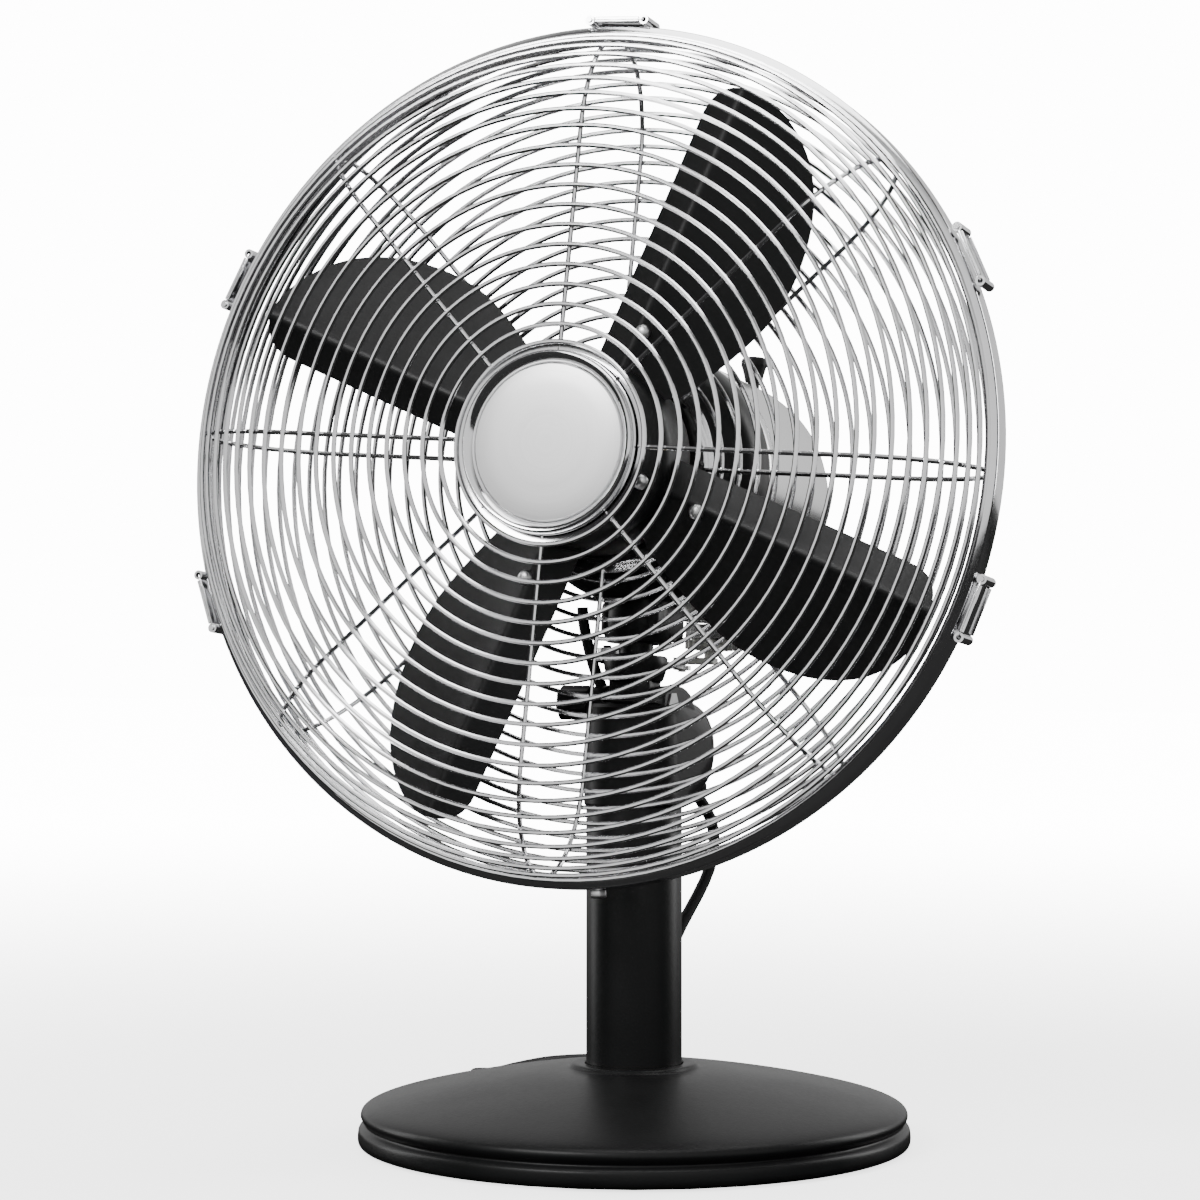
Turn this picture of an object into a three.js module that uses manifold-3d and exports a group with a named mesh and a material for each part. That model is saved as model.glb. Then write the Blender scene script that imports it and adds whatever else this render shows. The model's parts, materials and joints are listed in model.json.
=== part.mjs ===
// Desk fan with a round weighted base, a short pole, a tilting neck and an oscillating head.
// Millimetres, +Z up. The origin is the centre of the pad under the base, the fan blows towards -Y.
// Head pieces are built in a head frame: origin at the centre of the cage hoop, -Y along the blow
// direction, +Z up. The head frame is then leaned back about the tilt pivot.
import * as THREE from 'three';
import { mergeVertices } from 'three/addons/utils/BufferGeometryUtils.js';
import Module from 'manifold-3d';

const wasm = await Module();
wasm.setup();

// ---------------------------------------------------------------- driving dimensions
const GAP = 0.3; // clearance between pieces that touch
const RUN = 0.6; // running clearance between pieces that move on each other
const SHEET = 1.5; // steel sheet of the pressings

const BASE_R = 131.5; // base, over the rolled rim
const BASE_TOP = 36; // height of the base at the foot of the pole
const RIM_H = 17; // height of the rolled rim
const PAD_H = 2.5;
const COLLAR_R = 30; // raised collar round the pole
const COLLAR_RISE = 2.5;

const POLE_R = 22.8;
const POLE_WALL = 1.6;
const POLE_TOP = 163;

const BOX_LENGTH = 43; // from the pole axis to the centre of the box's round back
const BOX_WALL = 2;
const PIVOT_H = 209; // tilt pivot above the pad
const NECK_R = 13;
const NECK_W = 22; // width of the lug between the fork's cheeks
const PIN_R = 3;

const HEAD_LEAN = 6; // degrees that the head leans back at rest
const NECK_SETBACK = 74; // hoop plane to the swivel axis, along the blow axis
const HUB_RISE = 109; // tilt pivot to the blow axis, along the swivel axis
const CAGE_ROLL = 3.2; // degrees that the cage is clipped on off upright

const HOOP_R = 199; // outside of the hoop
const HOOP_W = 17; // width of the hoop along the blow axis
const HOOP_T = 1.2;
const LIP = 1.6; // how far the hoop's edges turn in
const CAGE_DEPTH = 38; // hoop plane to the flat of either grille
const CAGE_FLAT_R = 145; // where the flat of a grille ends and its shoulder starts
const WIRE_R = 1.15;
const RIM_WIRE_R = 1.9;
const RING_PITCH = 36.4;
const FIRST_RING_R = 47;
const SPOKES = 8;
const REAR_HOLE_R = 50; // innermost ring of the rear grille

const BADGE_R = 37;
const BEZEL_R = 42;

const MOTOR_R = 62;
const MOTOR_FRONT_Y = 46; // front face of the motor behind the hoop plane
const MOTOR_SPLIT_Y = 82; // joint between the black front shell and the bright rear shell
const MOTOR_BACK_Y = 196;
const SHELL = 2;
const SHAFT_R = 4;

const BLADES = 4;
const BLADE_R = 183;
const BLADE_T = 1.4;
const BLADE_PHASE = 66.8; // direction of the first blade's mid line, from +X towards +Z
const HUB_R = 44;

const SWING_GEAR_TEETH = 24;
const PINION_TEETH = 12;
const GEAR_MODULE = 1;
const WHEEL_TEETH = 28;

const CLIP_L = 27;
const CLIP_T = 1;
const KNUCKLE_R = 2.3;
const CLIP_ANGLES = [90, 28, -17.5, 157.5, 203];

const CORD_D = 5.8;

const rad = THREE.MathUtils.degToRad;
const vec = (x, y, z) => new THREE.Vector3(x, y, z);

// ---------------------------------------------------------------- finishes
function finish(color, roughness, metalness) {
  return new THREE.MeshStandardMaterial({ color, roughness, metalness });
}
const BLACK = finish(0x141414, 0.45, 0.2);
const CHROME = finish(0xd8d8d8, 0.12, 1);
const SILVER = finish(0xc4c4c2, 0.3, 0.8);
const STEEL = finish(0x8c8c8c, 0.35, 0.9);
const PLASTIC = finish(0x101010, 0.5, 0);
const RUBBER = finish(0x1a1a1a, 0.9, 0);
const COPPER = finish(0xa8622c, 0.4, 0.8);
const BRASS = finish(0xb08a3c, 0.35, 0.9);
const NYLON = finish(0xd8d8d2, 0.45, 0);
const IRON = finish(0x2f2f30, 0.8, 0.4);

// ---------------------------------------------------------------- shape helpers
function toSolid(geometry) {
  const bare = geometry.clone();
  bare.deleteAttribute('normal');
  bare.deleteAttribute('uv');
  const merged = mergeVertices(bare, 1e-4);
  const mesh = new wasm.Mesh({
    numProp: 3,
    vertProperties: new Float32Array(merged.attributes.position.array),
    triVerts: new Uint32Array(merged.index.array),
  });
  return new wasm.Manifold(mesh);
}

function toGeometry(solid) {
  const mesh = solid.getMesh();
  const geometry = new THREE.BufferGeometry();
  geometry.setAttribute('position', new THREE.BufferAttribute(new Float32Array(mesh.vertProperties), 3));
  geometry.setIndex(new THREE.BufferAttribute(new Uint32Array(mesh.triVerts), 1));
  geometry.computeVertexNormals();
  return geometry;
}

function join(...geometries) {
  return toGeometry(geometries.map(toSolid).reduce((a, b) => a.add(b)));
}

function cut(body, ...tools) {
  return toGeometry(tools.map(toSolid).reduce((a, b) => a.subtract(b), toSolid(body)));
}

// A solid of revolution about Z. The profile holds [radius, height] points, in either direction.
function lathe(profile, segments = 32) {
  const turns = profile.map(([r, z], i) => {
    const [r2, z2] = profile[(i + 1) % profile.length];
    return r * z2 - r2 * z;
  });
  const outward = turns.reduce((a, b) => a + b) > 0 ? profile : [...profile].reverse();
  const points = outward.map(([r, z]) => new THREE.Vector2(r, z));
  return new THREE.LatheGeometry(points, segments).rotateX(Math.PI / 2);
}

// A closed ring section turned about Z: the profile returns to its first point.
function ring(profile, segments = 32) {
  return lathe([...profile, profile[0]], segments);
}

function disc(radius, low, high, segments = 32) {
  return lathe([[0, low], [radius, low], [radius, high], [0, high]], segments);
}

function tube(outer, inner, low, high, segments = 32) {
  return ring([[inner, low], [outer, low], [outer, high], [inner, high]], segments);
}

// Turns a shape made about Z so that its axis lies along Y, or along X.
const alongY = (geometry) => geometry.rotateX(-Math.PI / 2);
const alongX = (geometry) => geometry.rotateY(Math.PI / 2);

function block(x0, x1, y0, y1, z0, z1) {
  const box = new THREE.BoxGeometry(x1 - x0, y1 - y0, z1 - z0);
  return box.translate((x0 + x1) / 2, (y0 + y1) / 2, (z0 + z1) / 2);
}

// An outline in the XY plane, extruded upwards from low to high.
function slab(outline, low, high) {
  const shape = new THREE.Shape(outline.map(([x, y]) => new THREE.Vector2(x, y)));
  const depth = high - low;
  return new THREE.ExtrudeGeometry(shape, { depth, bevelEnabled: false, steps: 1 }).translate(0, 0, low);
}

function arc(cx, cy, r, from, to, count) {
  return Array.from({ length: count + 1 }, (_, i) => {
    const a = rad(from + ((to - from) * i) / count);
    return [cx + r * Math.cos(a), cy + r * Math.sin(a)];
  });
}

// A round bar along a smooth path.
function bar(points, radius, steps, sides = 8) {
  const circle = new THREE.Shape(arc(0, 0, radius, 0, 360, sides).slice(0, -1).map(([x, y]) => new THREE.Vector2(x, y)));
  const path = new THREE.CatmullRomCurve3(points, false, 'centripetal');
  return new THREE.ExtrudeGeometry(circle, { steps, bevelEnabled: false, extrudePath: path });
}

// ---------------------------------------------------------------- groups
const fan = new THREE.Group();
const leaned = new THREE.Group(); // head frame
const lean = rad(HEAD_LEAN);
leaned.rotation.x = -lean;
leaned.position.set(
  0,
  -NECK_SETBACK * Math.cos(lean) + HUB_RISE * Math.sin(lean),
  PIVOT_H + NECK_SETBACK * Math.sin(lean) + HUB_RISE * Math.cos(lean),
);
fan.add(leaned);

function place(group, name, geometry, material) {
  const mesh = new THREE.Mesh(geometry, material);
  mesh.name = name;
  group.add(mesh);
  return mesh;
}
const stand = (name, geometry, material) => place(fan, name, geometry, material);
const head = (name, geometry, material) => place(leaned, name, geometry, material);

// ---------------------------------------------------------------- base and pole
function baseProfile(inset) {
  const r = BASE_R - inset;
  const top = BASE_TOP - inset;
  return [
    [r, RIM_H * 0.5],
    [r - 2, RIM_H * 0.6],
    [r - 1.5, RIM_H * 0.8],
    [r - 5, RIM_H],
    [r * 0.9, RIM_H + 4 - inset],
    [r * 0.75, RIM_H + (top - RIM_H) * 0.45],
    [r * 0.55, RIM_H + (top - RIM_H) * 0.75],
    [r * 0.38, RIM_H + (top - RIM_H) * 0.92],
    [COLLAR_R, top],
  ];
}

function buildBase() {
  const bottom = 0.6;
  const hole = POLE_R + GAP;
  const outer = [[BASE_R, bottom], ...baseProfile(0), [COLLAR_R - 1, BASE_TOP + COLLAR_RISE], [hole, BASE_TOP + COLLAR_RISE]];
  const inner = [[hole, BASE_TOP + COLLAR_RISE - SHEET], [COLLAR_R - 2, BASE_TOP + COLLAR_RISE - SHEET]];
  const under = baseProfile(SHEET).reverse();
  stand('base_shell', ring([...outer, ...inner, ...under, [BASE_R - SHEET, bottom]], 32), BLACK);
  const floorR = BASE_R - SHEET - 4;
  stand('base_pad', disc(floorR, 0, PAD_H, 32), RUBBER);
  stand('bottom_plate', disc(floorR, PAD_H + GAP, PAD_H + GAP + 1, 32), STEEL);
  const weightLow = PAD_H + 2 * GAP + 1;
  stand('base_weight', tube(BASE_R * 0.8, COLLAR_R + 12, weightLow, weightLow + 5, 32), IRON);
}

function buildPole() {
  const foot = BASE_TOP - 14;
  const flangeTop = foot;
  stand('pole_tube', tube(POLE_R, POLE_R - POLE_WALL, foot + GAP, POLE_TOP, 32), BLACK);
  const spigot = POLE_R - POLE_WALL - GAP;
  const flange = lathe([[0, flangeTop - 4], [COLLAR_R + 3, flangeTop - 4], [COLLAR_R + 3, flangeTop],
    [spigot, flangeTop], [spigot, flangeTop + 16], [0, flangeTop + 16]]);
  stand('pole_flange', flange, IRON);
  const low = PAD_H + 2 * GAP + 1;
  stand('pole_bolt', disc(4, low, flangeTop - 4 - GAP, 12), STEEL);
}

// ---------------------------------------------------------------- control box and tilt fork
function boxOutline(r) {
  return [...arc(0, 0, r, 180, 360, 12), ...arc(0, BOX_LENGTH, r, 0, 180, 12)];
}

const BOX_LOW = POLE_TOP + GAP;
const BOX_TOP = PIVOT_H - 12;
const SWITCH_H = BOX_LOW + 23;
const EXIT_H = BOX_LOW + 5; // height of the cord's exit

function buildBox() {
  const cup = slab(boxOutline(POLE_R), BOX_LOW, BOX_TOP);
  const room = slab(boxOutline(POLE_R - BOX_WALL), BOX_LOW + BOX_WALL, BOX_TOP + 1);
  const switchHole = alongY(disc(4.5, BOX_LENGTH + POLE_R - 4, BOX_LENGTH + POLE_R + 4, 16))
    .translate(0, 0, SWITCH_H);
  const cordHole = alongY(disc(4.4, BOX_LENGTH + POLE_R - 4, BOX_LENGTH + POLE_R + 4, 16))
    .translate(0, 0, EXIT_H);
  stand('control_box', cut(cup, room, switchHole, cordHole), BLACK);
  const lid = slab(boxOutline(POLE_R), BOX_TOP + GAP, BOX_TOP + GAP + 2);
  const low = BOX_TOP + GAP;
  const cheek = (side) => {
    const x0 = side * (NECK_W / 2 + RUN);
    const x1 = side * (NECK_W / 2 + RUN + 5);
    const outline = [[-9, low + 1], [9, low + 1], ...arc(0, PIVOT_H, 8, 0, 180, 8)];
    const plate = slab(outline, Math.min(x0, x1), Math.max(x0, x1));
    return plate.rotateX(Math.PI / 2).rotateZ(Math.PI / 2);
  };
  const bore = alongX(disc(PIN_R + GAP, -40, 40, 12)).translate(0, 0, PIVOT_H);
  stand('tilt_fork', cut(join(lid, cheek(1), cheek(-1)), bore), BLACK);
  stand('speed_switch', block(-10, 10, BOX_LENGTH - 2, BOX_LENGTH + 16, SWITCH_H - 8, SWITCH_H + 9), PLASTIC);
  const back = BOX_LENGTH + POLE_R;
  const stem = alongY(disc(3, BOX_LENGTH + 16 + GAP, back + 3, 12)).translate(0, 0, SWITCH_H);
  const cap = alongY(lathe([[0, back + 1], [10, back + 1], [9, back + 11], [0, back + 11]], 20))
    .translate(0, 0, SWITCH_H);
  const pointer = block(-1.5, 1.5, back + 10, back + 13, SWITCH_H, SWITCH_H + 9);
  stand('speed_knob', join(stem, cap, pointer), PLASTIC);
}

function buildTilt() {
  const out = NECK_W / 2 + RUN + 5;
  const pin = alongX(disc(PIN_R, -out - 7, out + 4, 12)).translate(0, 0, PIVOT_H);
  const boltHead = alongX(disc(6, out + GAP, out + 4, 6)).translate(0, 0, PIVOT_H);
  stand('tilt_bolt', join(pin, boltHead), STEEL);
  const knobBody = alongX(disc(8.5, -out - 21, -out - GAP, 20)).translate(0, 0, PIVOT_H);
  const socket = alongX(disc(PIN_R + GAP, -out - 8, -out + 2, 12)).translate(0, 0, PIVOT_H);
  const wing = block(-out - 20, -out - 8, -1.8, 1.8, PIVOT_H - 9, PIVOT_H + 9);
  stand('tilt_knob', cut(join(knobBody, wing), socket), PLASTIC);
}

// ---------------------------------------------------------------- neck
const AXIS = NECK_SETBACK; // head-frame Y of the swivel axis
const NECK_TOP = -86; // top face of the neck
const BOSS_R = 5;
const DECK_LOW = NECK_TOP + RUN; // underside of the swivel deck
const BOSS_TOP = DECK_LOW + 14;
const STUD_R = 2;
const THROW = 15; // throw of the crank and offset of the neck's stud from the swivel axis
const LINK_LOW = NECK_TOP + 1.5;
const LINK_T = 2;
const EYE_WALL = 2.2;
const WEB_LOW = LINK_LOW + LINK_T + 1; // underside of the crank's web

function buildNeck() {
  const pivotZ = -HUB_RISE;
  const lug = alongX(disc(8, -NECK_W / 2, NECK_W / 2, 20)).translate(0, AXIS, pivotZ);
  const column = disc(NECK_R, pivotZ + 9.5, NECK_TOP - 2.5, 24).translate(0, AXIS, 0);
  const web = block(-NECK_W / 2, NECK_W / 2, AXIS - 6, AXIS + 6, pivotZ, pivotZ + 11);
  const top = disc(NECK_R + 1, NECK_TOP - 3, NECK_TOP, 24).translate(0, AXIS, 0);
  const ear = block(-THROW - 4, 0, AXIS - 4, AXIS + 4, NECK_TOP - 4, NECK_TOP);
  const boss = disc(BOSS_R, NECK_TOP - 2, BOSS_TOP, 16).translate(0, AXIS, 0);
  const stud = disc(STUD_R, NECK_TOP - 1, LINK_LOW + LINK_T + 1.5, 12).translate(-THROW, AXIS, 0);
  const bore = alongX(disc(PIN_R + GAP, -40, 40, 12)).translate(0, AXIS, pivotZ);
  head('neck', cut(join(lug, web, column, top, ear, boss, stud), bore), BLACK);
}

// ---------------------------------------------------------------- motor and gearbox
const GEAR_Y = 172; // line of the gear shafts behind the hoop plane
const GEAR_LOW = -74; // underside of the spur gears
const GEAR_T = 4;
const CRANK_X = 0;
const CLUTCH_X = CRANK_X + (GEAR_MODULE * (SWING_GEAR_TEETH + PINION_TEETH)) / 2;

const onClutch = (geometry) => geometry.translate(CLUTCH_X, GEAR_Y, 0);
const onCrank = (geometry) => geometry.translate(CRANK_X, GEAR_Y, 0);
const motorSkin = () => alongY(disc(MOTOR_R + GAP, MOTOR_FRONT_Y - 5, MOTOR_BACK_Y + 5, 32));

function buildMotorShells() {
  const front = MOTOR_FRONT_Y;
  const split = MOTOR_SPLIT_Y;
  const inner = MOTOR_R - SHELL;
  const nose = 14;
  const eye = SHAFT_R + 8;
  head('motor_front_shell', alongY(ring([[eye, front], [40, front], [MOTOR_R - 3, front + nose],
    [MOTOR_R, split - GAP], [inner, split - GAP], [inner - 3, front + nose + 1], [39, front + SHELL],
    [eye, front + SHELL]])), BLACK);
  const back = MOTOR_BACK_Y;
  const shell = alongY(ring([[3, back], [30, back - 1], [50, back - 8], [MOTOR_R - 2, back - 20],
    [MOTOR_R, back - 34], [MOTOR_R, split], [inner, split], [inner, back - 35], [MOTOR_R - 4, back - 21],
    [49, back - 10], [30, back - 3], [3, back - 2]]));
  const bore = onClutch(disc(SHAFT_R + RUN, -90, 90, 12));
  head('motor_rear_shell', cut(shell, bore), SILVER);
}

function buildDeck() {
  const low = DECK_LOW;
  const post = disc(BOSS_R + GAP + 3, low, low + 8, 24).translate(0, AXIS, 0);
  const collar = disc(15, WEB_LOW + 2, BOSS_TOP + 3, 24).translate(0, AXIS, 0);
  const saddle = block(-15, 15, AXIS - 12, AXIS + 26, WEB_LOW + 4, -45);
  const bore = disc(BOSS_R + GAP, low - 1, BOSS_TOP + GAP, 16).translate(0, AXIS, 0);
  head('swivel_deck', cut(join(post, collar, saddle), motorSkin(), bore), BLACK);
  const bracket = block(CRANK_X - 9, CLUTCH_X + 9, GEAR_Y - 12, GEAR_Y + 12, GEAR_LOW + GEAR_T + RUN, -40);
  const holes = [onCrank(disc(3 + GAP, -90, -66, 12)), onClutch(disc(SHAFT_R - 1 + RUN, -90, -30, 12))];
  head('gear_bracket', cut(bracket, motorSkin(), ...holes), SILVER);
}

function gearOutline(teeth, module, twist) {
  const root = module * (teeth / 2 - 1.25);
  const tip = module * (teeth / 2 + 0.85);
  const step = 360 / teeth;
  const corners = [[-0.31, root], [-0.12, tip], [0.12, tip], [0.31, root]];
  return Array.from({ length: teeth * 4 }, (_, i) => {
    const [share, r] = corners[i % 4];
    const a = rad((Math.floor(i / 4) + share + twist) * step);
    return [r * Math.cos(a), r * Math.sin(a)];
  });
}

function buildGears() {
  const high = GEAR_LOW + GEAR_T;
  const gear = slab(gearOutline(SWING_GEAR_TEETH, GEAR_MODULE, 0.5), GEAR_LOW, high);
  const shaft = disc(3, WEB_LOW, -66.5, 12);
  const web = block(-THROW - 3.5, 3, -3.5, 3.5, WEB_LOW, WEB_LOW + 3);
  const pin = disc(STUD_R, LINK_LOW - 1, WEB_LOW + 1, 12).translate(-THROW, 0, 0);
  head('crank_gear', onCrank(join(gear, shaft, web, pin)), NYLON);
  const pinion = slab(gearOutline(PINION_TEETH, GEAR_MODULE, 0), GEAR_LOW, high);
  const clutch = disc(SHAFT_R - 1, GEAR_LOW + 1, 5, 12);
  head('clutch_pinion', onClutch(join(pinion, clutch)), STEEL);
  const wheel = slab(gearOutline(WHEEL_TEETH, GEAR_MODULE, 0), -3, 3);
  const bore = disc(SHAFT_R - 1 + GAP, -9, 9, 12);
  head('worm_wheel', onClutch(cut(wheel, bore)), NYLON);
}

// The link keeps the crank's web and the neck's stud side by side. Its eye round the stud is loose.
function buildLink() {
  const eye = () => disc(STUD_R + GAP + EYE_WALL, LINK_LOW, LINK_LOW + LINK_T, 16);
  const hole = () => disc(STUD_R + GAP, LINK_LOW - 9, LINK_LOW + 9, 12);
  const length = GEAR_Y - AXIS;
  const rod = block(-2.5, 2.5, -length, 0, LINK_LOW, LINK_LOW + LINK_T);
  const link = cut(join(eye(), eye().translate(0, -length, 0), rod), hole(), hole().translate(0, -length, 0));
  head('swing_link', link.translate(CRANK_X - THROW, GEAR_Y, 0), STEEL);
}

function buildKnob() {
  const top = MOTOR_R * Math.cos(Math.asin(CLUTCH_X / MOTOR_R));
  const cone = lathe([[0, top + 3], [4.4, top + 3], [6.6, top + 12], [6.2, top + 15], [0, top + 15]], 20);
  const stem = disc(SHAFT_R - 1, 11, top + 4, 12);
  head('swing_knob', onClutch(join(cone, stem)), PLASTIC);
}

// The thread stands between two teeth of the wheel on the side that faces the wheel.
function worm() {
  const turns = 6;
  const pitch = Math.PI * GEAR_MODULE;
  const first = GEAR_Y + pitch / 2 - (turns / 2) * pitch;
  const points = Array.from({ length: turns * 8 + 1 }, (_, i) => {
    const a = (i / 8) * 2 * Math.PI;
    return vec(3 * Math.cos(a), 3 * Math.sin(a), first + (i / 8) * pitch);
  });
  return bar(points, 0.8, turns * 8, 3);
}

function buildRotor() {
  const long = disc(SHAFT_R, -18, 152, 16);
  const tail = disc(2.6, 151, 184, 12);
  head('rotor_shaft', alongY(join(long, tail, worm())), STEEL);
  const held = SHAFT_R + GAP;
  head('rotor_core', alongY(tube(26, held, 98, 122, 24)), IRON);
  head('stator_core', alongY(tube(46, 26 + RUN, 98, 122, 32)), IRON);
  head('stator_ring', alongY(tube(MOTOR_R - SHELL - GAP, 46 + GAP, 106, 110, 32)), STEEL);
  head('front_winding', alongY(tube(42, 30, 90, 98 - GAP, 24)), COPPER);
  head('rear_winding', alongY(tube(42, 30, 122 + GAP, 130, 24)), COPPER);
  head('front_bearing', alongY(tube(SHAFT_R + 8 - GAP, held, MOTOR_FRONT_Y - 2, MOTOR_FRONT_Y + 8, 20)), BRASS);
  head('rear_bearing', alongY(tube(11, held, 142, 149, 20)), BRASS);
  head('rear_frame', alongY(tube(MOTOR_R - SHELL - GAP, 11 + GAP, 144, 146, 32)), STEEL);
  const seat = CAGE_DEPTH - 0.5;
  head('grille_plate', alongY(tube(40, SHAFT_R + 2, seat + GAP, MOTOR_FRONT_Y - 2 - GAP, 32)), BLACK);
  head('grille_nut', alongY(tube(REAR_HOLE_R - 4, SHAFT_R + 4, seat - 8, seat - 2 - GAP, 8)), PLASTIC);
}

// ---------------------------------------------------------------- blades
const HUB_FRONT = -10;
const HUB_BACK = 24;
const PITCH = 23;
const LIP_BEND = 19;
const CREASE_Y = 1;

// Planform on each side of the crease: [sideways, outwards] from the blow axis.
const BLADE_MAIN = [[0, 20], [24, 20], [37, 50], [45, 72], [53, 94], [57, 112], [57, 130], [52, 147], [43, 162],
  [29, 175], [12, 181.5], [0, BLADE_R]];
const BLADE_LIP = [[0, 20], [0, BLADE_R], [-9, 181.5], [-14.5, 177], [-17.5, 168], [-17.5, 20]];

function bladePanel(outline, bend) {
  const panel = slab(outline, -BLADE_T / 2, BLADE_T / 2);
  return panel.rotateY(rad(bend));
}

function buildBlades() {
  const cup = alongY(ring([[SHAFT_R + GAP, HUB_FRONT], [HUB_R - 6, HUB_FRONT], [HUB_R, HUB_FRONT + 6], [HUB_R, HUB_BACK],
    [HUB_R - 2, HUB_BACK], [HUB_R - 2, HUB_FRONT + 7], [HUB_R - 7, HUB_FRONT + 2], [12, HUB_FRONT + 2], [12, 16],
    [SHAFT_R + GAP, 16]]));
  head('blade_hub', cup, BLACK);
  const nut = alongY(lathe([[0, -26], [6, -26], [9, -22], [9, HUB_FRONT - GAP], [0, HUB_FRONT - GAP]], 20));
  const seat = alongY(disc(SHAFT_R + GAP, -18 - GAP, 0, 16));
  head('spinner_nut', cut(nut, seat), PLASTIC);
  for (let k = 0; k < BLADES; k += 1) {
    const main = bladePanel(BLADE_MAIN, PITCH);
    const lip = bladePanel(BLADE_LIP, -LIP_BEND);
    const hub = disc(HUB_R + GAP, -60, 60, 48);
    const flat = join(main, lip).rotateX(Math.PI / 2).translate(0, CREASE_Y, 0);
    const blade = cut(flat, alongY(hub)).rotateY(rad(90 - BLADE_PHASE - (360 / BLADES) * k));
    head(`blade_${k + 1}`, blade, BLACK);
  }
}

// ---------------------------------------------------------------- cage
const CAGE_RIM_R = HOOP_R - HOOP_T - RIM_WIRE_R - 0.8;
const RIM_Y = RIM_WIRE_R + GAP + 0.3; // rim wires of the two grilles lie side by side in the hoop

function cagePoint(turn) {
  const t = rad(turn);
  return [CAGE_FLAT_R + (CAGE_RIM_R - CAGE_FLAT_R) * Math.sin(t), RIM_Y + (CAGE_DEPTH - RIM_Y) * Math.cos(t)];
}

function wireRing(r, y, radius, sides = 3, segments = 24) {
  const section = arc(r, y, radius, 45, 405, sides).slice(0, -1);
  return alongY(ring(section, segments));
}

function spoke(innerR, angle) {
  const inset = WIRE_R * 0.8;
  const points = [vec(innerR, 0, CAGE_DEPTH - inset), vec((innerR + CAGE_FLAT_R) / 2, 0, CAGE_DEPTH - inset)];
  for (let turn = 0; turn <= 90; turn += 10) {
    const [r, y] = cagePoint(turn);
    points.push(vec(r - inset * Math.sin(rad(turn)), 0, y - inset * Math.cos(rad(turn))));
  }
  return alongY(bar(points, WIRE_R, 16, 3)).rotateY(rad(angle));
}

function grille(innerR) {
  const wires = [];
  for (let r = innerR; r < CAGE_FLAT_R - 4; r += RING_PITCH) wires.push(wireRing(r, CAGE_DEPTH, WIRE_R));
  for (let turn = 22; turn < 85; turn += 34) wires.push(wireRing(...cagePoint(turn), WIRE_R));
  wires.push(wireRing(CAGE_RIM_R, RIM_Y, RIM_WIRE_R, 4, 32));
  for (let k = 0; k < SPOKES; k += 1) wires.push(spoke(innerR - 2, (360 / SPOKES) * k));
  return wires;
}

function buildCage() {
  const front = grille(FIRST_RING_R);
  const plate = alongY(disc(FIRST_RING_R - 3, CAGE_DEPTH - 3, CAGE_DEPTH - 1.2, 32));
  const collar = alongY(tube(FIRST_RING_R, FIRST_RING_R - 4, CAGE_DEPTH - 3, CAGE_DEPTH - 0.5, 32));
  head('front_grille', join(...front, plate, collar).rotateZ(Math.PI).rotateY(rad(CAGE_ROLL)), CHROME);
  const rear = grille(REAR_HOLE_R);
  const seat = alongY(tube(REAR_HOLE_R + 1, REAR_HOLE_R - 14, CAGE_DEPTH - 2.5, CAGE_DEPTH - 0.5, 32));
  head('rear_grille', join(...rear, seat).rotateY(rad(CAGE_ROLL)), CHROME);
  const half = HOOP_W / 2;
  const inR = HOOP_R - HOOP_T;
  head('hoop', alongY(ring([[HOOP_R, -half], [HOOP_R, half], [inR - LIP, half], [inR - LIP, half - HOOP_T],
    [inR, half - HOOP_T], [inR, -half + HOOP_T], [inR - LIP, -half + HOOP_T], [inR - LIP, -half]], 48)), CHROME);
  const badgeY = CAGE_DEPTH - 0.5 + GAP;
  head('badge', alongY(lathe([[0, -badgeY - 3.5], [BADGE_R * 0.6, -badgeY - 3], [BADGE_R, -badgeY - 1.5],
    [BADGE_R, -badgeY], [0, -badgeY]])), SILVER);
  head('badge_bezel', alongY(ring([[BADGE_R + GAP, -badgeY - 2], [BADGE_R + 2, -badgeY - 5], [BEZEL_R - 1, -badgeY - 3],
    [BEZEL_R, -badgeY], [BADGE_R + GAP, -badgeY]])), CHROME);
}

// The lever stands off the hoop on a rolled knuckle and swings about the knuckle.
function buildClips() {
  const centre = HOOP_R + RUN + KNUCKLE_R;
  CLIP_ANGLES.forEach((angle, i) => {
    const knuckle = () => alongY(disc(KNUCKLE_R, -HOOP_W / 2 + 1, HOOP_W / 2 - 1, 12));
    const plate = block(0, CLIP_L, -HOOP_W / 2 + 1, HOOP_W / 2 - 1, -CLIP_T / 2, CLIP_T / 2);
    const lever = join(plate, knuckle(), knuckle().translate(CLIP_L, 0, 0));
    lever.translate(-CLIP_L / 2, 0, centre).rotateY(rad(90 - angle + CAGE_ROLL));
    head(`clip_${i + 1}`, lever, CHROME);
  });
  const turn = rad(90 + 82 + CAGE_ROLL);
  const nut = disc(4, HOOP_R + GAP, HOOP_R + 4, 6).rotateY(turn);
  head('hoop_nut', nut, STEEL);
}

// ---------------------------------------------------------------- leads
const LEAD_R = 2.8;
const COIL_R = 32; // middle of the coiled turns
const COIL_HALF = 12.6; // half the width of the coiled turns
const COIL_AT = [-12, 181]; // middle of the coil, sideways from the route and along it
const PLUG_AT = [-74, 154];
const ROUTE = vec(-0.415, 0.91, 0); // direction in which the cord leaves the base
const ACROSS = vec(0.91, 0.415, 0);

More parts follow.
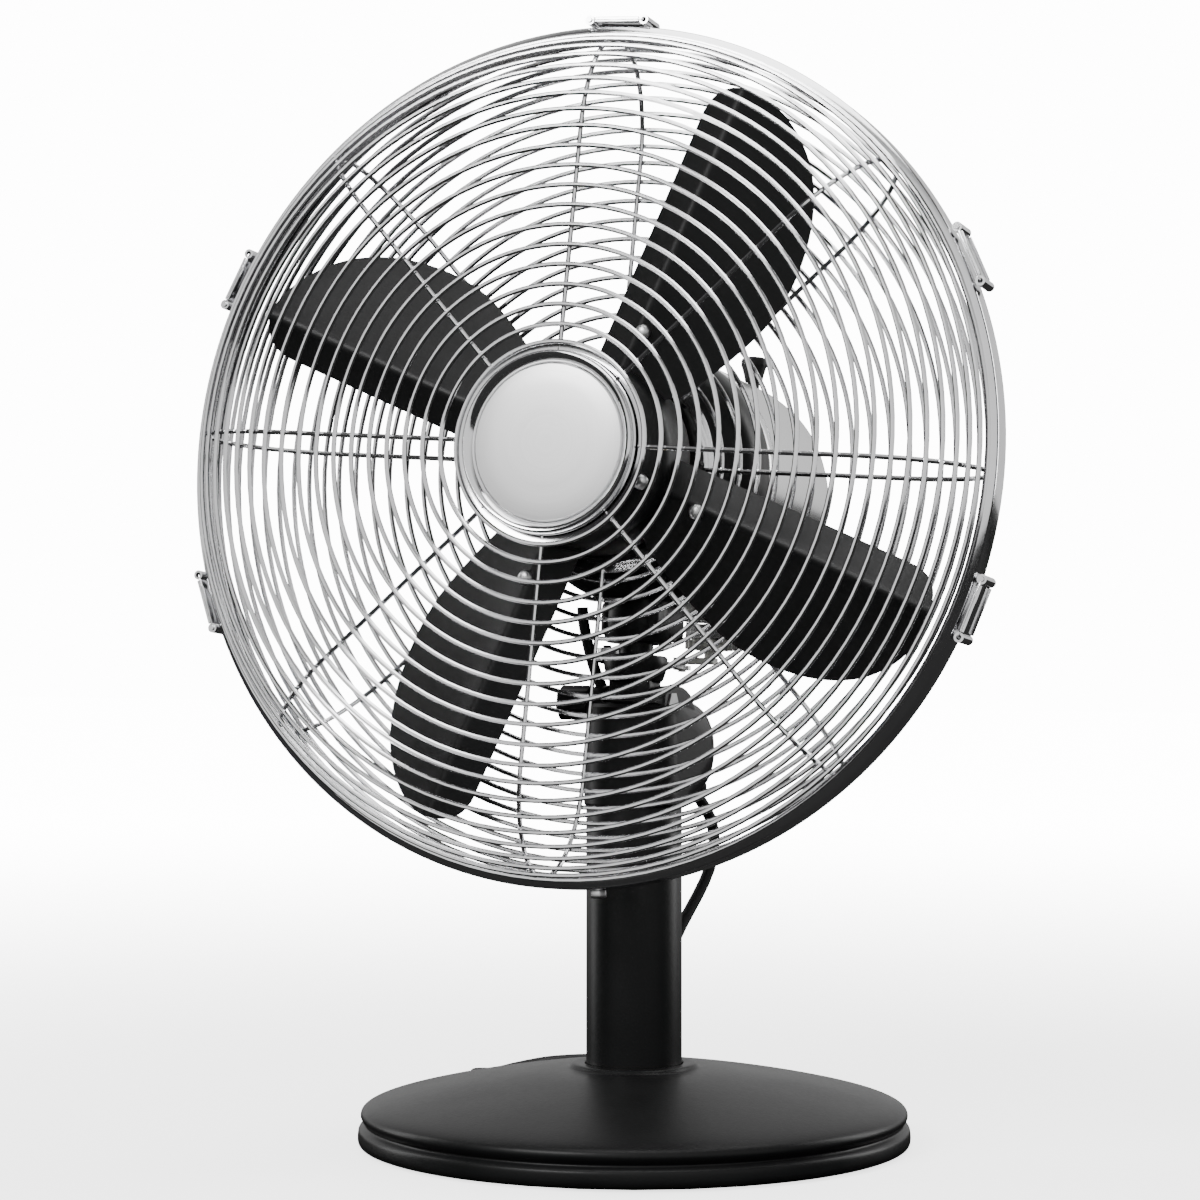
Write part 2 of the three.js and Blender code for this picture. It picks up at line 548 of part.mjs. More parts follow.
function buildLeads() {
  const lead = bar([vec(-24, 1, 253), vec(-26.5, 2, 241), vec(-23, 3, 228)], LEAD_R, 8, 8);
  stand('motor_lead', lead, RUBBER);
  const exit = BOX_LENGTH + POLE_R + GAP;
  const relief = alongY(tube(4.6, CORD_D / 2 + 3 * GAP, 0, 6, 16)).translate(0, exit, EXIT_H);
  stand('strain_relief', relief, RUBBER);
  // Sideways from the route, along it from the pole axis, and up.
  const at = (side, along, up) => ACROSS.clone().multiplyScalar(side).addScaledVector(ROUTE, along).setZ(up);
  const start = exit + 1;
  const hang = [at(30.5, 67, EXIT_H - 1.6), at(36, 78, 158.5), at(41.5, 88, 149), at(44, 93, 137), at(41.5, 91, 123),
    at(35, 84, 110), at(27, 75, 97), at(20, 66, 83), at(16, 59, 69), at(14, 57, 56), at(14, 62, 44.5)];
  const lie = [at(14.5, 71, 36.5), at(15, 85, 32.2), at(16, 100, 28.6), at(17.5, 113, 25.6), at(19, 123, 23.6),
    at(20.5, 131.5, 19.4), at(22, 138.5, 12.8), at(23.5, 145, 7.6), at(24.5, 151, 4.8)];
  const points = [vec(0, start, EXIT_H), vec(0, start + 5, EXIT_H - 0.4), ...hang, ...lie];
  stand('cord', bar(points, CORD_D / 2, 50, 8), RUBBER);
  const coil = tube(COIL_R + COIL_HALF, COIL_R - COIL_HALF, 0.3, 2 * CORD_D + 0.4, 32);
  const middle = at(COIL_AT[0], COIL_AT[1], 0);
  stand('cord_coil', coil.translate(middle.x, middle.y, 0), RUBBER);
  const shank = block(-7, 7, -17, 17, 0, 12);
  const pin = (side) => alongY(disc(2, 16, 36, 10)).translate(side * 9.5, 0, 6);
  const face = block(-13, 13, 12, 18, 0, 12);
  const turned = join(shank, face, pin(1), pin(-1)).rotateZ(Math.atan2(ACROSS.y, ACROSS.x) + Math.PI);
  const plugMiddle = at(PLUG_AT[0], PLUG_AT[1], 0);
  stand('plug', turned.translate(plugMiddle.x, plugMiddle.y, 0), RUBBER);
}

buildBase();
buildPole();
buildBox();
buildTilt();
buildNeck();
buildMotorShells();
buildDeck();
buildGears();
buildLink();
buildKnob();
buildRotor();
buildBlades();
buildCage();
buildClips();
buildLeads();

export default fan;
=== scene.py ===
"""A desk fan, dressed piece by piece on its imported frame.

Lengths in the classes are millimetres. Pieces of the head are made in the head's own frame, whose
origin is the middle of the cage hoop, with -Y along the blow axis, and are then put in place.
"""

import json
import logging
import math
from dataclasses import dataclass, field
from enum import Enum
from typing import Callable, Iterable, Sequence

import bmesh
import bpy
from mathutils import Matrix, Vector

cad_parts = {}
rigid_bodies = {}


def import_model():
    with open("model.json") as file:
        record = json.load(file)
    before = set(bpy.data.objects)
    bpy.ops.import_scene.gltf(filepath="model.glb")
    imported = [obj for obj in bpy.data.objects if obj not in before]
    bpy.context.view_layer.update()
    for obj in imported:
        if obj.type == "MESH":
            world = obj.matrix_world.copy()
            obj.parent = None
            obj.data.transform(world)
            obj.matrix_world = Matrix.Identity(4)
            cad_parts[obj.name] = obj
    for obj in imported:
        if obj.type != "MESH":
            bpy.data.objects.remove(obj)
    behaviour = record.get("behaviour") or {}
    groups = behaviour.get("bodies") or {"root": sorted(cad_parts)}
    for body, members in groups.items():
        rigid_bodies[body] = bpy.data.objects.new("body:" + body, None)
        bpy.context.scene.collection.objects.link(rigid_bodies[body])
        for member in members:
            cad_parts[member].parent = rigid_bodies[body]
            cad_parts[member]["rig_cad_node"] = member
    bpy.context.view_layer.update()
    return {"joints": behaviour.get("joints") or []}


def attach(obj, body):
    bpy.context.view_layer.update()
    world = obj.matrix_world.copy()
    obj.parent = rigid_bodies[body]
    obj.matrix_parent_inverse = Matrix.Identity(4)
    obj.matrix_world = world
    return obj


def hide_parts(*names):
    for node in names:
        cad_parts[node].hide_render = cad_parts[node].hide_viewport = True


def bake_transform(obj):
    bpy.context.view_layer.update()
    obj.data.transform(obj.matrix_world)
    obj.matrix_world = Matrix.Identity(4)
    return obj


LOG = logging.getLogger("desk_fan")
MM = 0.001
POLE_RADIUS = 22.8  # the housing's front is round with the pole
SETBACK = 74.0  # from the hoop's middle back to the swivel
Point = tuple[float, float]
Point3 = tuple[float, float, float]


class Axis(Enum):
    """The axis that a turned shape is spun about."""

    Z = "z"
    Y = "y"


class Body(Enum):
    """The moving bodies that pieces ride on."""

    STAND = "stand"
    NECK = "neck"
    HEAD = "head"
    ROTOR = "rotor"
    TILT_KNOB = "tilt_knob"
    SPEED_KNOB = "speed_knob"
    SWING_KNOB = "swing_knob"
    CLIP_1 = "clip_1"
    CLIP_2 = "clip_2"
    CLIP_3 = "clip_3"
    CLIP_4 = "clip_4"
    CLIP_5 = "clip_5"


# ---------------------------------------------------------------- shading


class Wire:
    """A shader socket on which Python's operators add Math nodes."""

    def __init__(self, shader: "Shader", socket: bpy.types.NodeSocket) -> None:
        """Wraps a socket.

        Args:
            shader: the shader that the socket's node belongs to.
            socket: the output socket.
        """
        self.shader = shader
        self.socket = socket

    def _maths(self, operation: str, first: "Wire | float", second: "Wire | float") -> "Wire":
        """Adds one Math node and returns its output."""
        node = self.shader.node("ShaderNodeMath", {"operation": operation}, {0: first, 1: second})
        return node["Value"]

    def __add__(self, other: "Wire | float") -> "Wire":
        """Sum."""
        return self._maths("ADD", self, other)

    def __radd__(self, other: float) -> "Wire":
        """Sum with a number on the left."""
        return self._maths("ADD", other, self)

    def __sub__(self, other: "Wire | float") -> "Wire":
        """Difference."""
        return self._maths("SUBTRACT", self, other)

    def __mul__(self, other: "Wire | float") -> "Wire":
        """Product."""
        return self._maths("MULTIPLY", self, other)


class Made:
    """A node just added, whose outputs are reached by name or number."""

    def __init__(self, shader: "Shader", node: bpy.types.Node) -> None:
        """Wraps a node."""
        self.shader = shader
        self.node = node

    def __getitem__(self, key: str | int) -> Wire:
        """The output of that name or number."""
        return Wire(self.shader, self.node.outputs[key])


class Shader:
    """One material under construction, around a Principled shader."""

    def __init__(self, name: str) -> None:
        """Starts an empty material.

        Args:
            name: the material's name.
        """
        self.material = bpy.data.materials.new(name)
        self.material.use_nodes = True
        self.tree = self.material.node_tree
        self.tree.nodes.clear()
        self.output = self.tree.nodes.new("ShaderNodeOutputMaterial")
        self.main = self.tree.nodes.new("ShaderNodeBsdfPrincipled")
        self.tree.links.new(self.main.outputs[0], self.output.inputs["Surface"])

    def node(self, kind: str, settings: dict | None = None, inputs: dict | None = None) -> Made:
        """Adds a node.

        Args:
            kind: the node's type.
            settings: attributes set first, such as a Math node's operation; "stops" sets a ramp.
            inputs: values or wires by socket name or number.

        Returns:
            The node, ready for its outputs to be read.
        """
        made = self.tree.nodes.new(kind)
        for key, value in (settings or {}).items():
            if key == "stops":
                self._ramp(made, value)
            else:
                setattr(made, key, value)
        for key, value in (inputs or {}).items():
            self._feed(made.inputs[key], value)
        return Made(self, made)

    def _ramp(self, node: bpy.types.Node, stops: Sequence[tuple[float, Sequence[float]]]) -> None:
        """Sets a colour ramp's stops.

        Args:
            node: the ramp.
            stops: each stop's place and colour.
        """
        elements = node.color_ramp.elements
        while len(elements) < len(stops):
            elements.new(0.5)
        for element, (place, colour) in zip(elements, stops):
            element.position = place
            element.color = (*colour, 1.0)

    def _feed(self, socket: bpy.types.NodeSocket, value: "Wire | float | Sequence[float]") -> None:
        """Links a wire to a socket, or sets its value.

        Args:
            socket: the input socket.
            value: a wire, or the socket's constant.
        """
        if isinstance(value, Wire):
            self.tree.links.new(value.socket, socket)
        else:
            socket.default_value = value

    def set(self, **values: float | Sequence[float] | Wire) -> None:
        """Sets the Principled shader's sockets.

        Args:
            **values: wires or constants by socket name, an underscore standing for a space.
        """
        for key, value in values.items():
            self._feed(self.main.inputs[key.replace("_", " ")], value)

    def place(self) -> Wire:
        """Object coordinates, in metres, which are the fan's own frame."""
        return self.node("ShaderNodeTexCoord")["Object"]

    def noise(self, scale: float, detail: float = 2.0, where: Wire | None = None) -> Wire:
        """Noise from 0 to 1.

        Args:
            scale: waves in a metre.
            detail: octaves.
            where: the coordinates; Object coordinates if left out.

        Returns:
            The noise value.
        """
        where = where or self.place()
        inputs = {"Vector": where, "Scale": scale, "Detail": detail, "Roughness": 0.55}
        return self.node("ShaderNodeTexNoise", {}, inputs)["Fac"]

    def colours(self, factor: Wire, *stops: tuple[float, Sequence[float]]) -> Wire:
        """A colour ramp on a factor."""
        return self.node("ShaderNodeValToRGB", {"stops": stops}, {0: factor})["Color"]

    def bump(self, height: Wire, distance: float, strength: float = 1.0) -> None:
        """Feeds a height, in metres once multiplied by distance, to the shader's normal."""
        inputs = {"Height": height, "Distance": distance, "Strength": strength}
        self.set(Normal=self.node("ShaderNodeBump", {}, inputs)["Normal"])


@dataclass(frozen=True)
class Enamel:
    """Sprayed and baked enamel: a dark colour, a faint orange peel and a soft gloss."""

    name: str
    slot: str
    colour: Point3 = (0.006, 0.006, 0.0062)
    roughness: float = 0.36
    peel: float = 0.00004
    gloss: float = 0.16

    def make(self) -> bpy.types.Material:
        """Builds the material."""
        shader = Shader(self.name)
        cloud = shader.noise(24.0, 3.0)
        dust = shader.noise(420.0, 2.0)
        low = tuple(c * 0.85 for c in self.colour)
        high = tuple(c * 1.2 + 0.0008 for c in self.colour)
        shader.set(
            Base_Color=shader.colours(cloud, (0.3, low), (0.7, high)),
            Roughness=self.roughness + (cloud - 0.5) * 0.10 + (dust - 0.5) * 0.06,
            Specular_IOR_Level=self.gloss,
        )
        shader.bump(shader.noise(900.0, 1.0), self.peel)
        return shader.material


@dataclass(frozen=True)
class Plating:
    """Bright plating on steel: a mirror with faint streaks and dulled patches."""

    name: str
    slot: str
    colour: Point3 = (0.86, 0.86, 0.87)
    roughness: float = 0.08
    dull: float = 0.10
    ripple: float = 0.000012

    def make(self) -> bpy.types.Material:
        """Builds the material."""
        shader = Shader(self.name)
        patch = shader.noise(40.0, 3.0)
        fine = shader.noise(700.0, 2.0)
        low = tuple(c * 0.93 for c in self.colour)
        shader.set(
            Base_Color=shader.colours(patch, (0.35, low), (0.65, self.colour)),
            Roughness=self.roughness + patch * self.dull * 0.5 + fine * self.dull * 0.5,
            Metallic=1.0,
        )
        shader.bump(shader.noise(260.0, 1.0), self.ripple)
        return shader.material


@dataclass(frozen=True)
class Brushed:
    """Metal brushed in rings about the blow axis, or spun on a lathe."""

    name: str
    slot: str
    colour: Point3 = (0.8, 0.8, 0.8)
    roughness: float = 0.3
    metallic: float = 1.0
    centre: Point3 = (0.0, 0.0, 0.0)
    rings: float = 2600.0

    def make(self) -> bpy.types.Material:
        """Builds the material."""
        shader = Shader(self.name)
        moved = shader.node(
            "ShaderNodeMapping", {"vector_type": "POINT"},
            {"Vector": shader.place(), "Location": tuple(-c for c in self.centre)},
        )["Vector"]
        length = shader.node("ShaderNodeVectorMath", {"operation": "LENGTH"}, {0: moved})["Value"]
        line = shader.noise(1.0, 2.0, shader.node(
            "ShaderNodeCombineXYZ", {}, {0: length * self.rings, 1: shader.noise(9.0) * 2.0})["Vector"])
        low = tuple(c * 0.94 for c in self.colour)
        shader.set(
            Base_Color=shader.colours(line, (0.3, low), (0.7, self.colour)),
            Roughness=self.roughness + (line - 0.5) * 0.16,
            Metallic=self.metallic,
        )
        shader.bump(line, 0.000008)
        return shader.material


@dataclass(frozen=True)
class Moulded:
    """Moulded plastic or rubber with a fine spark texture."""

    name: str
    slot: str
    colour: Point3 = (0.008, 0.008, 0.008)
    roughness: float = 0.5
    gloss: float = 0.2
    grain: float = 0.00006

    def make(self) -> bpy.types.Material:
        """Builds the material."""
        shader = Shader(self.name)
        grain = shader.noise(1500.0, 2.0)
        cloud = shader.noise(30.0, 2.0)
        low = tuple(c * 0.8 for c in self.colour)
        high = tuple(c * 1.3 + 0.001 for c in self.colour)
        shader.set(
            Base_Color=shader.colours(cloud, (0.3, low), (0.7, high)),
            Roughness=self.roughness + (grain - 0.5) * 0.12,
            Specular_IOR_Level=self.gloss,
        )
        shader.bump(grain, self.grain)
        return shader.material


class Palette:
    """The fan's finishes, each made once."""

    def __init__(self, hub: Point3) -> None:
        """Lists the finishes.

        Args:
            hub: the middle of the cage hoop, in metres, which turned finishes are centred on.
        """
        self.finishes = {
            finish.name: finish
            for finish in (
                Enamel("black_enamel", "satin_black"),
                Enamel("blade_enamel", "satin_black", roughness=0.4, gloss=0.26),
                Enamel("iron_dark", "iron", colour=(0.05, 0.05, 0.052), roughness=0.7, peel=0.0002),
                Plating("bright_plating", "chrome"),
                Plating("zinc", "steel", colour=(0.6, 0.6, 0.6), roughness=0.28),
                Plating("brass", "brass", colour=(0.75, 0.56, 0.25), roughness=0.2),
                Plating("lacquered_copper", "copper", colour=(0.62, 0.28, 0.12), roughness=0.3),
                Brushed("badge_silver", "silver", colour=(0.95, 0.95, 0.95), roughness=0.36, metallic=0.5,
                        centre=hub),
                Brushed("housing_silver", "silver", colour=(0.85, 0.85, 0.85), roughness=0.22, centre=hub),
                Moulded("black_plastic", "black_plastic"),
                Moulded("flex_rubber", "rubber", roughness=0.55),
                Moulded("white_nylon", "white_nylon", colour=(0.72, 0.72, 0.69), roughness=0.42, gloss=0.5,
                         grain=0.00002),
            )
        }
        self.made: dict[str, bpy.types.Material] = {}

    def dress(self, piece: bpy.types.Object, name: str) -> None:
        """Gives a piece a finish.

        Args:
            piece: the object.
            name: the finish's name.
        """
        finish = self.finishes[name]
        if name not in self.made:
            self.made[name] = finish.make()
        piece.data.materials.clear()
        piece.data.materials.append(self.made[name])


# ---------------------------------------------------------------- modelling


def curve_through(points: Sequence[Point], steps: int, closed: bool = False) -> list[Point]:
    """A smooth line through points, by Catmull-Rom.

    Args:
        points: the points that it passes.
        steps: pieces between two points.
        closed: whether it returns to the first point.

    Returns:
        The points of the line.
    """
    count = len(points)
    at = (lambda i: Vector(points[i % count])) if closed else (
        lambda i: Vector(points[min(max(i, 0), count - 1)]))
    line = []
    for i in range(count if closed else count - 1):
        a, b, c, d = at(i - 1), at(i), at(i + 1), at(i + 2)
        for k in range(steps):
            t = k / steps
            line.append(tuple(0.5 * (2 * b + (c - a) * t + (2 * a - 5 * b + 4 * c - d) * t * t
                                     + (3 * b - a - 3 * c + d) * t ** 3)))
    return line if closed else [*line, tuple(points[-1])]


class Form:
    """A mesh under construction, in millimetres."""

    def __init__(self) -> None:
        """Starts an empty mesh."""
        self.bm = bmesh.new()

    def turn(self, profile: Sequence[Point], segments: int = 96, axis: Axis = Axis.Z,
             closed: bool = True) -> "Form":
        """Spins a profile of (radius, height) points a full turn.

        Args:
            profile: the points; those at radius 0 close the shape on its axis.
            segments: faces round the turn.
            axis: Z, or Y for pieces of the head.
            closed: whether the profile returns to its first point.

        Returns:
            This form.
        """
        upright = axis is Axis.Z
        verts = [self.bm.verts.new((r, 0, h) if upright else (r, h, 0)) for r, h in profile]
        edges = [self.bm.edges.new(pair) for pair in zip(verts, verts[1:])]
        if closed and profile[0][0] > 0:
            edges.append(self.bm.edges.new((verts[-1], verts[0])))
        bmesh.ops.spin(
            self.bm, geom=verts + edges, axis=(0, 0, 1) if upright else (0, 1, 0), cent=(0, 0, 0),
            angle=math.tau, steps=segments, use_merge=True,
        )
        return self

    def ring(self, radius: float, depth: float, wire: float, segments: int = 112, sides: int = 8) -> "Form":
        """Spins a round wire into a ring about the blow axis.

        Args:
            radius: the ring's radius at the wire's middle.
            depth: how far along the axis it lies.
            wire: the wire's radius.
            segments: faces round the ring.
            sides: faces round the wire.

        Returns:
            This form.
        """
        section = [
            (radius + wire * math.cos(a), depth + wire * math.sin(a))
            for a in (math.tau * (k + 0.5) / sides for k in range(sides))
        ]
        return self.turn(section, segments, Axis.Y)

    def plate(self, outline: Sequence[Point], low: float, high: float) -> "Form":
        """Extrudes an outline in the XY plane.

        Args:
            outline: the points of the outline.
            low: the height of the lower face.
            high: the height of the upper face.

        Returns:
            This form.
        """
        verts = [self.bm.verts.new((x, y, low)) for x, y in outline]
        face = self.bm.faces.new(verts)
        made = bmesh.ops.extrude_face_region(self.bm, geom=[face])["geom"]
        top = [g for g in made if isinstance(g, bmesh.types.BMVert)]
        bmesh.ops.translate(self.bm, verts=top, vec=(0, 0, high - low))
        return self

    def block(self, low: Point3, high: Point3) -> "Form":
        """Adds a box.

        Args:
            low: the corner with the least of each coordinate.
            high: the corner opposite.

        Returns:
            This form.
        """
        size = [b - a for a, b in zip(low, high)]
        middle = [(a + b) / 2 for a, b in zip(low, high)]
        matrix = Matrix.Translation(middle) @ Matrix.Diagonal((*size, 1))
        bmesh.ops.create_cube(self.bm, size=1, matrix=matrix)
        return self

    def drum(self, radius: float, low: float, high: float, segments: int = 48,
             axis: Axis = Axis.Z) -> "Form":
        """A solid disc or bar about the axis."""
        return self.turn([(0, low), (radius, low), (radius, high), (0, high)], segments, axis, False)

    def add(self, other: "Form", matrix: Matrix | None = None) -> "Form":
        """Takes in another form's mesh, which is used up.

        Args:
            other: the form.
            matrix: a move for it first.

        Returns:
            This form.
        """
        other.move(matrix or Matrix.Identity(4))
        spare = bpy.data.meshes.new("spare")
        other.bm.to_mesh(spare)
        self.bm.from_mesh(spare)
        bpy.data.meshes.remove(spare)
        other.bm.free()
        return self

    def move(self, matrix: Matrix) -> "Form":
        """Moves all of it by a matrix."""
        bmesh.ops.transform(self.bm, matrix=matrix, verts=self.bm.verts)
        return self

    def tidy(self) -> "Form":
        """Merges doubles and turns every face outwards."""
        bmesh.ops.remove_doubles(self.bm, verts=self.bm.verts, dist=0.0005)
        bmesh.ops.dissolve_degenerate(self.bm, dist=0.0003, edges=self.bm.edges)
        bmesh.ops.recalc_face_normals(self.bm, faces=self.bm.faces)
        return self

    def ease(self, width: float, segments: int = 2, sharper: float = 35.0) -> "Form":
        """Rounds the edges that are sharper than an angle.

        Args:
            width: the bevel's width.
            segments: steps across the bevel.
            sharper: degrees between an edge's two faces.

        Returns:
            This form.
        """
        self.tidy()
        limit = math.radians(sharper)
        edges = [e for e in self.bm.edges if len(e.link_faces) == 2 and e.calc_face_angle(0) > limit]
        bmesh.ops.bevel(
            self.bm, geom=edges, offset=width, offset_type="OFFSET", affect="EDGES",
            segments=segments, profile=0.5, material=-1, clamp_overlap=True,
        )
        return self

    def piece(self, name: str, matrix: Matrix | None = None, smooth: float = 40.0) -> bpy.types.Object:
        """Makes the finished object.

        Args:
            name: its name.
            matrix: its place, with the move in millimetres.
            smooth: faces meeting at less than this many degrees are shaded as one.

        Returns:
            The object, at the origin with its place in its mesh.
        """
        self.tidy()
        self.move(Matrix.Scale(MM, 4) @ (matrix or Matrix.Identity(4)))
        for face in self.bm.faces:
            face.smooth = True
        limit = math.radians(smooth)
        for edge in self.bm.edges:
            edge.smooth = len(edge.link_faces) == 2 and edge.calc_face_angle(0) < limit
        mesh = bpy.data.meshes.new(name)
        self.bm.to_mesh(mesh)
        self.bm.free()
        made = bpy.data.objects.new(name, mesh)
        bpy.context.collection.objects.link(made)
        return made


def rods(paths: Iterable[Sequence[Point3]], radius: float, sides: int = 2) -> Form:
    """Round bars along paths, with capped ends.

    Args:
        paths: the points of each bar, in millimetres.
        radius: the bars' radius.
        sides: the bevel resolution; 2 gives eight sides.

    Returns:
        The bars as a form.
    """
    data = bpy.data.curves.new("rods", "CURVE")
    data.dimensions = "3D"
    data.bevel_depth = radius
    data.bevel_resolution = sides
    data.use_fill_caps = True
    for path in paths:
        spline = data.splines.new("POLY")
        spline.points.add(len(path) - 1)
        for point, place in zip(spline.points, path):
            point.co = (*place, 1.0)
    holder = bpy.data.objects.new("rods", data)
    mesh = bpy.data.meshes.new_from_object(holder)
    form = Form()
    form.bm.from_mesh(mesh)
    bpy.data.objects.remove(holder)
    bpy.data.curves.remove(data)
    bpy.data.meshes.remove(mesh)
    return form


def turn_about(axis: str, degrees: float) -> Matrix:
    """A rotation about X, Y or Z."""
    return Matrix.Rotation(math.radians(degrees), 4, axis)


def shift(x: float, y: float, z: float) -> Matrix:
    """A move."""
    return Matrix.Translation((x, y, z))


@dataclass
class Workshop:
    """What every sub-assembly needs: the frame's places and the finishes."""

    joints: dict[str, dict]
    palette: Palette
    head: Matrix = field(init=False)

    def __post_init__(self) -> None:
        """Works out the head's frame, in millimetres, from its joints."""
        spin, swing = self.joints["blade_spin"], self.joints["swing"]
        back = -Vector(spin["axis"]).normalized()
        up = Vector(swing["axis"]).normalized()
        matrix = Matrix((back.cross(up), back, up)).transposed().to_4x4()
        matrix.translation = Vector(spin["pos_m"]) / MM
        self.head = matrix

    def fit(self, form: Form, name: str, finish: str, body: Body, *nodes: str,
            in_head: bool = True, smooth: float = 40.0) -> bpy.types.Object:
        """Finishes a piece, dresses it and sets it on its body.

        Args:
            form: the mesh so far.
            name: the piece's name.
            finish: the finish's name.
            body: the body that it rides on.
            nodes: the CAD nodes that it stands for.
            in_head: whether it is made in the head's frame.
            smooth: the shading angle.

        Returns:
            The piece.
        """
        made = form.piece(name, self.head if in_head else None, smooth)
        self.palette.dress(made, finish)
        if nodes:
            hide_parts(*nodes)
        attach(made, body.value)
        LOG.info("%s: %d faces on %s", name, len(made.data.polygons), body.value)
        return made


# ---------------------------------------------------------------- stage


@dataclass(frozen=True)
class Panel:
    """A soft rectangular light, placed in metres as the camera sees the fan."""

    name: str
    side: float
    away: float
    up: float
    size: Point
    power: float
    aim: float = 0.28


@dataclass
class Studio:
    """The camera, a pale floor and soft light from large panels."""

    azimuth: float = 23.0
    stand_off: float = 1558.0
    side: float = -16.2
    height: float = 258.5
    lens: float = 98.1
    front_glow: float = 1.0
    back_glow: float = 0.8
    floor_bounce: float = 0.02
    backdrop: float = 14.0
    panels: tuple[Panel, ...] = (
        Panel("top_panel", 0.2, 0.0, 2.4, (1.6, 1.6), 40.0, aim=0.2),
        Panel("key_panel", -1.5, -1.7, 1.9, (1.1, 1.1), 62.0, aim=0.3),
        Panel("left_panel", -2.1, 0.9, 0.8, (0.6, 1.7), 18.0),
        Panel("right_panel", 2.0, 0.8, 1.0, (0.7, 1.7), 26.0),
    )

    def across_and_away(self) -> tuple[Vector, Vector]:
        """The level directions to the camera's right and away from it."""
        a = math.radians(self.azimuth)
        return Vector((math.cos(a), math.sin(a), 0)), Vector((-math.sin(a), math.cos(a), 0))

    def camera(self) -> None:
        """Makes the level camera that the fan is seen through."""
        right, away = self.across_and_away()
        data = bpy.data.cameras.new("camera")
        data.lens = self.lens
        data.sensor_width = 36.0
        data.clip_start, data.clip_end = 0.05, 60.0
        cam = bpy.data.objects.new("camera", data)
        place = -away * self.stand_off + right * self.side
        cam.location = Vector((place.x, place.y, self.height)) * MM
        cam.rotation_mode = "QUATERNION"
        cam.rotation_quaternion = away.to_track_quat("-Z", "Y")
        bpy.context.collection.objects.link(cam)
        bpy.context.scene.camera = cam

    def floor(self) -> None:
        """Lays a wide floor that the camera sees as pale, and white far off, and that reflects little."""
        form = Form()
        bmesh.ops.create_grid(form.bm, x_segments=1, y_segments=1, size=6000)
        form.move(shift(0, 0, -0.3))
        plane = form.piece("floor")
        shader = Shader("pale_floor")
        tone = shader.colours(shader.noise(3.0), (0.3, (0.90, 0.90, 0.90)), (0.7, (0.92, 0.92, 0.92)))
        reach = shader.node("ShaderNodeVectorMath", {"operation": "LENGTH"}, {0: shader.place()})["Value"]
        glow = shader.node(
            "ShaderNodeMapRange", {"interpolation_type": "SMOOTHSTEP"},
            {"Value": reach, "From Min": 0.25, "From Max": 2.4, "To Min": 2.4, "To Max": self.backdrop},
        )["Result"]
        seen = shader.node("ShaderNodeLightPath")["Is Camera Ray"]
        shader.set(Base_Color=tone, Roughness=0.8, Emission_Color=(1, 1, 1, 1), Emission_Strength=glow)
        dull = shader.node("ShaderNodeBsdfDiffuse", {}, {"Color": (*(self.floor_bounce,) * 3, 1)})
        pale = Wire(shader, shader.main.outputs[0])
        both = shader.node("ShaderNodeMixShader", {}, {0: seen, 1: dull[0], 2: pale})
        shader.tree.links.new(both[0].socket, shader.output.inputs["Surface"])
        plane.data.materials.append(shader.material)

    def light(self, panel: Panel) -> None:
        """Hangs one soft light, aimed at the fan.

        Args:
            panel: its place, size and power.
        """
        right, away = self.across_and_away()
        place = right * panel.side + away * panel.away
        place.z = panel.up
        data = bpy.data.lights.new(panel.name, "AREA")
        data.shape = "RECTANGLE"
        data.size, data.size_y = panel.size
        data.energy = panel.power
        lamp = bpy.data.objects.new(panel.name, data)
        lamp.location = place
        lamp.rotation_mode = "QUATERNION"
        lamp.rotation_quaternion = (Vector((0, 0, panel.aim)) - place).to_track_quat("-Z", "Y")
        bpy.context.collection.objects.link(lamp)

    def world(self) -> None:
        """Sets a surround that is seen as white, and that lights the fan from in front and behind."""
        _, away = self.across_and_away()
        world = bpy.data.worlds.new("surround")
        world.use_nodes = True
        tree = world.node_tree
        back = tree.nodes["Background"]
        back.inputs["Color"].default_value = (1, 1, 1, 1)
        place = tree.nodes.new("ShaderNodeTexCoord")
        facing = tree.nodes.new("ShaderNodeVectorMath")
        facing.operation = "DOT_PRODUCT"
        facing.inputs[1].default_value = away
        tree.links.new(place.outputs["Generated"], facing.inputs[0])
        total = tree.nodes.new("ShaderNodeMath")
        sides = ((-0.25, -0.65, self.front_glow), (0.1, 0.6, self.back_glow))
        for k, (low, high, glow) in enumerate(sides):
            ramp = tree.nodes.new("ShaderNodeMapRange")
            ramp.interpolation_type = "SMOOTHSTEP"
            for key, value in (("From Min", low), ("From Max", high), ("To Min", 0.03), ("To Max", glow)):
                ramp.inputs[key].default_value = value
            tree.links.new(facing.outputs["Value"], ramp.inputs["Value"])
            tree.links.new(ramp.outputs["Result"], total.inputs[k])
        seen = tree.nodes.new("ShaderNodeLightPath")
        choice = tree.nodes.new("ShaderNodeMix")
        choice.inputs["B"].default_value = self.backdrop
        tree.links.new(seen.outputs["Is Camera Ray"], choice.inputs["Factor"])
        tree.links.new(total.outputs["Value"], choice.inputs["A"])
        tree.links.new(choice.outputs["Result"], back.inputs["Strength"])
        bpy.context.scene.world = world

    def build(self) -> None:
        """Sets up the whole stage."""
        self.camera()
        self.floor()
        self.world()
        for panel in self.panels:
            self.light(panel)


# ---------------------------------------------------------------- leads


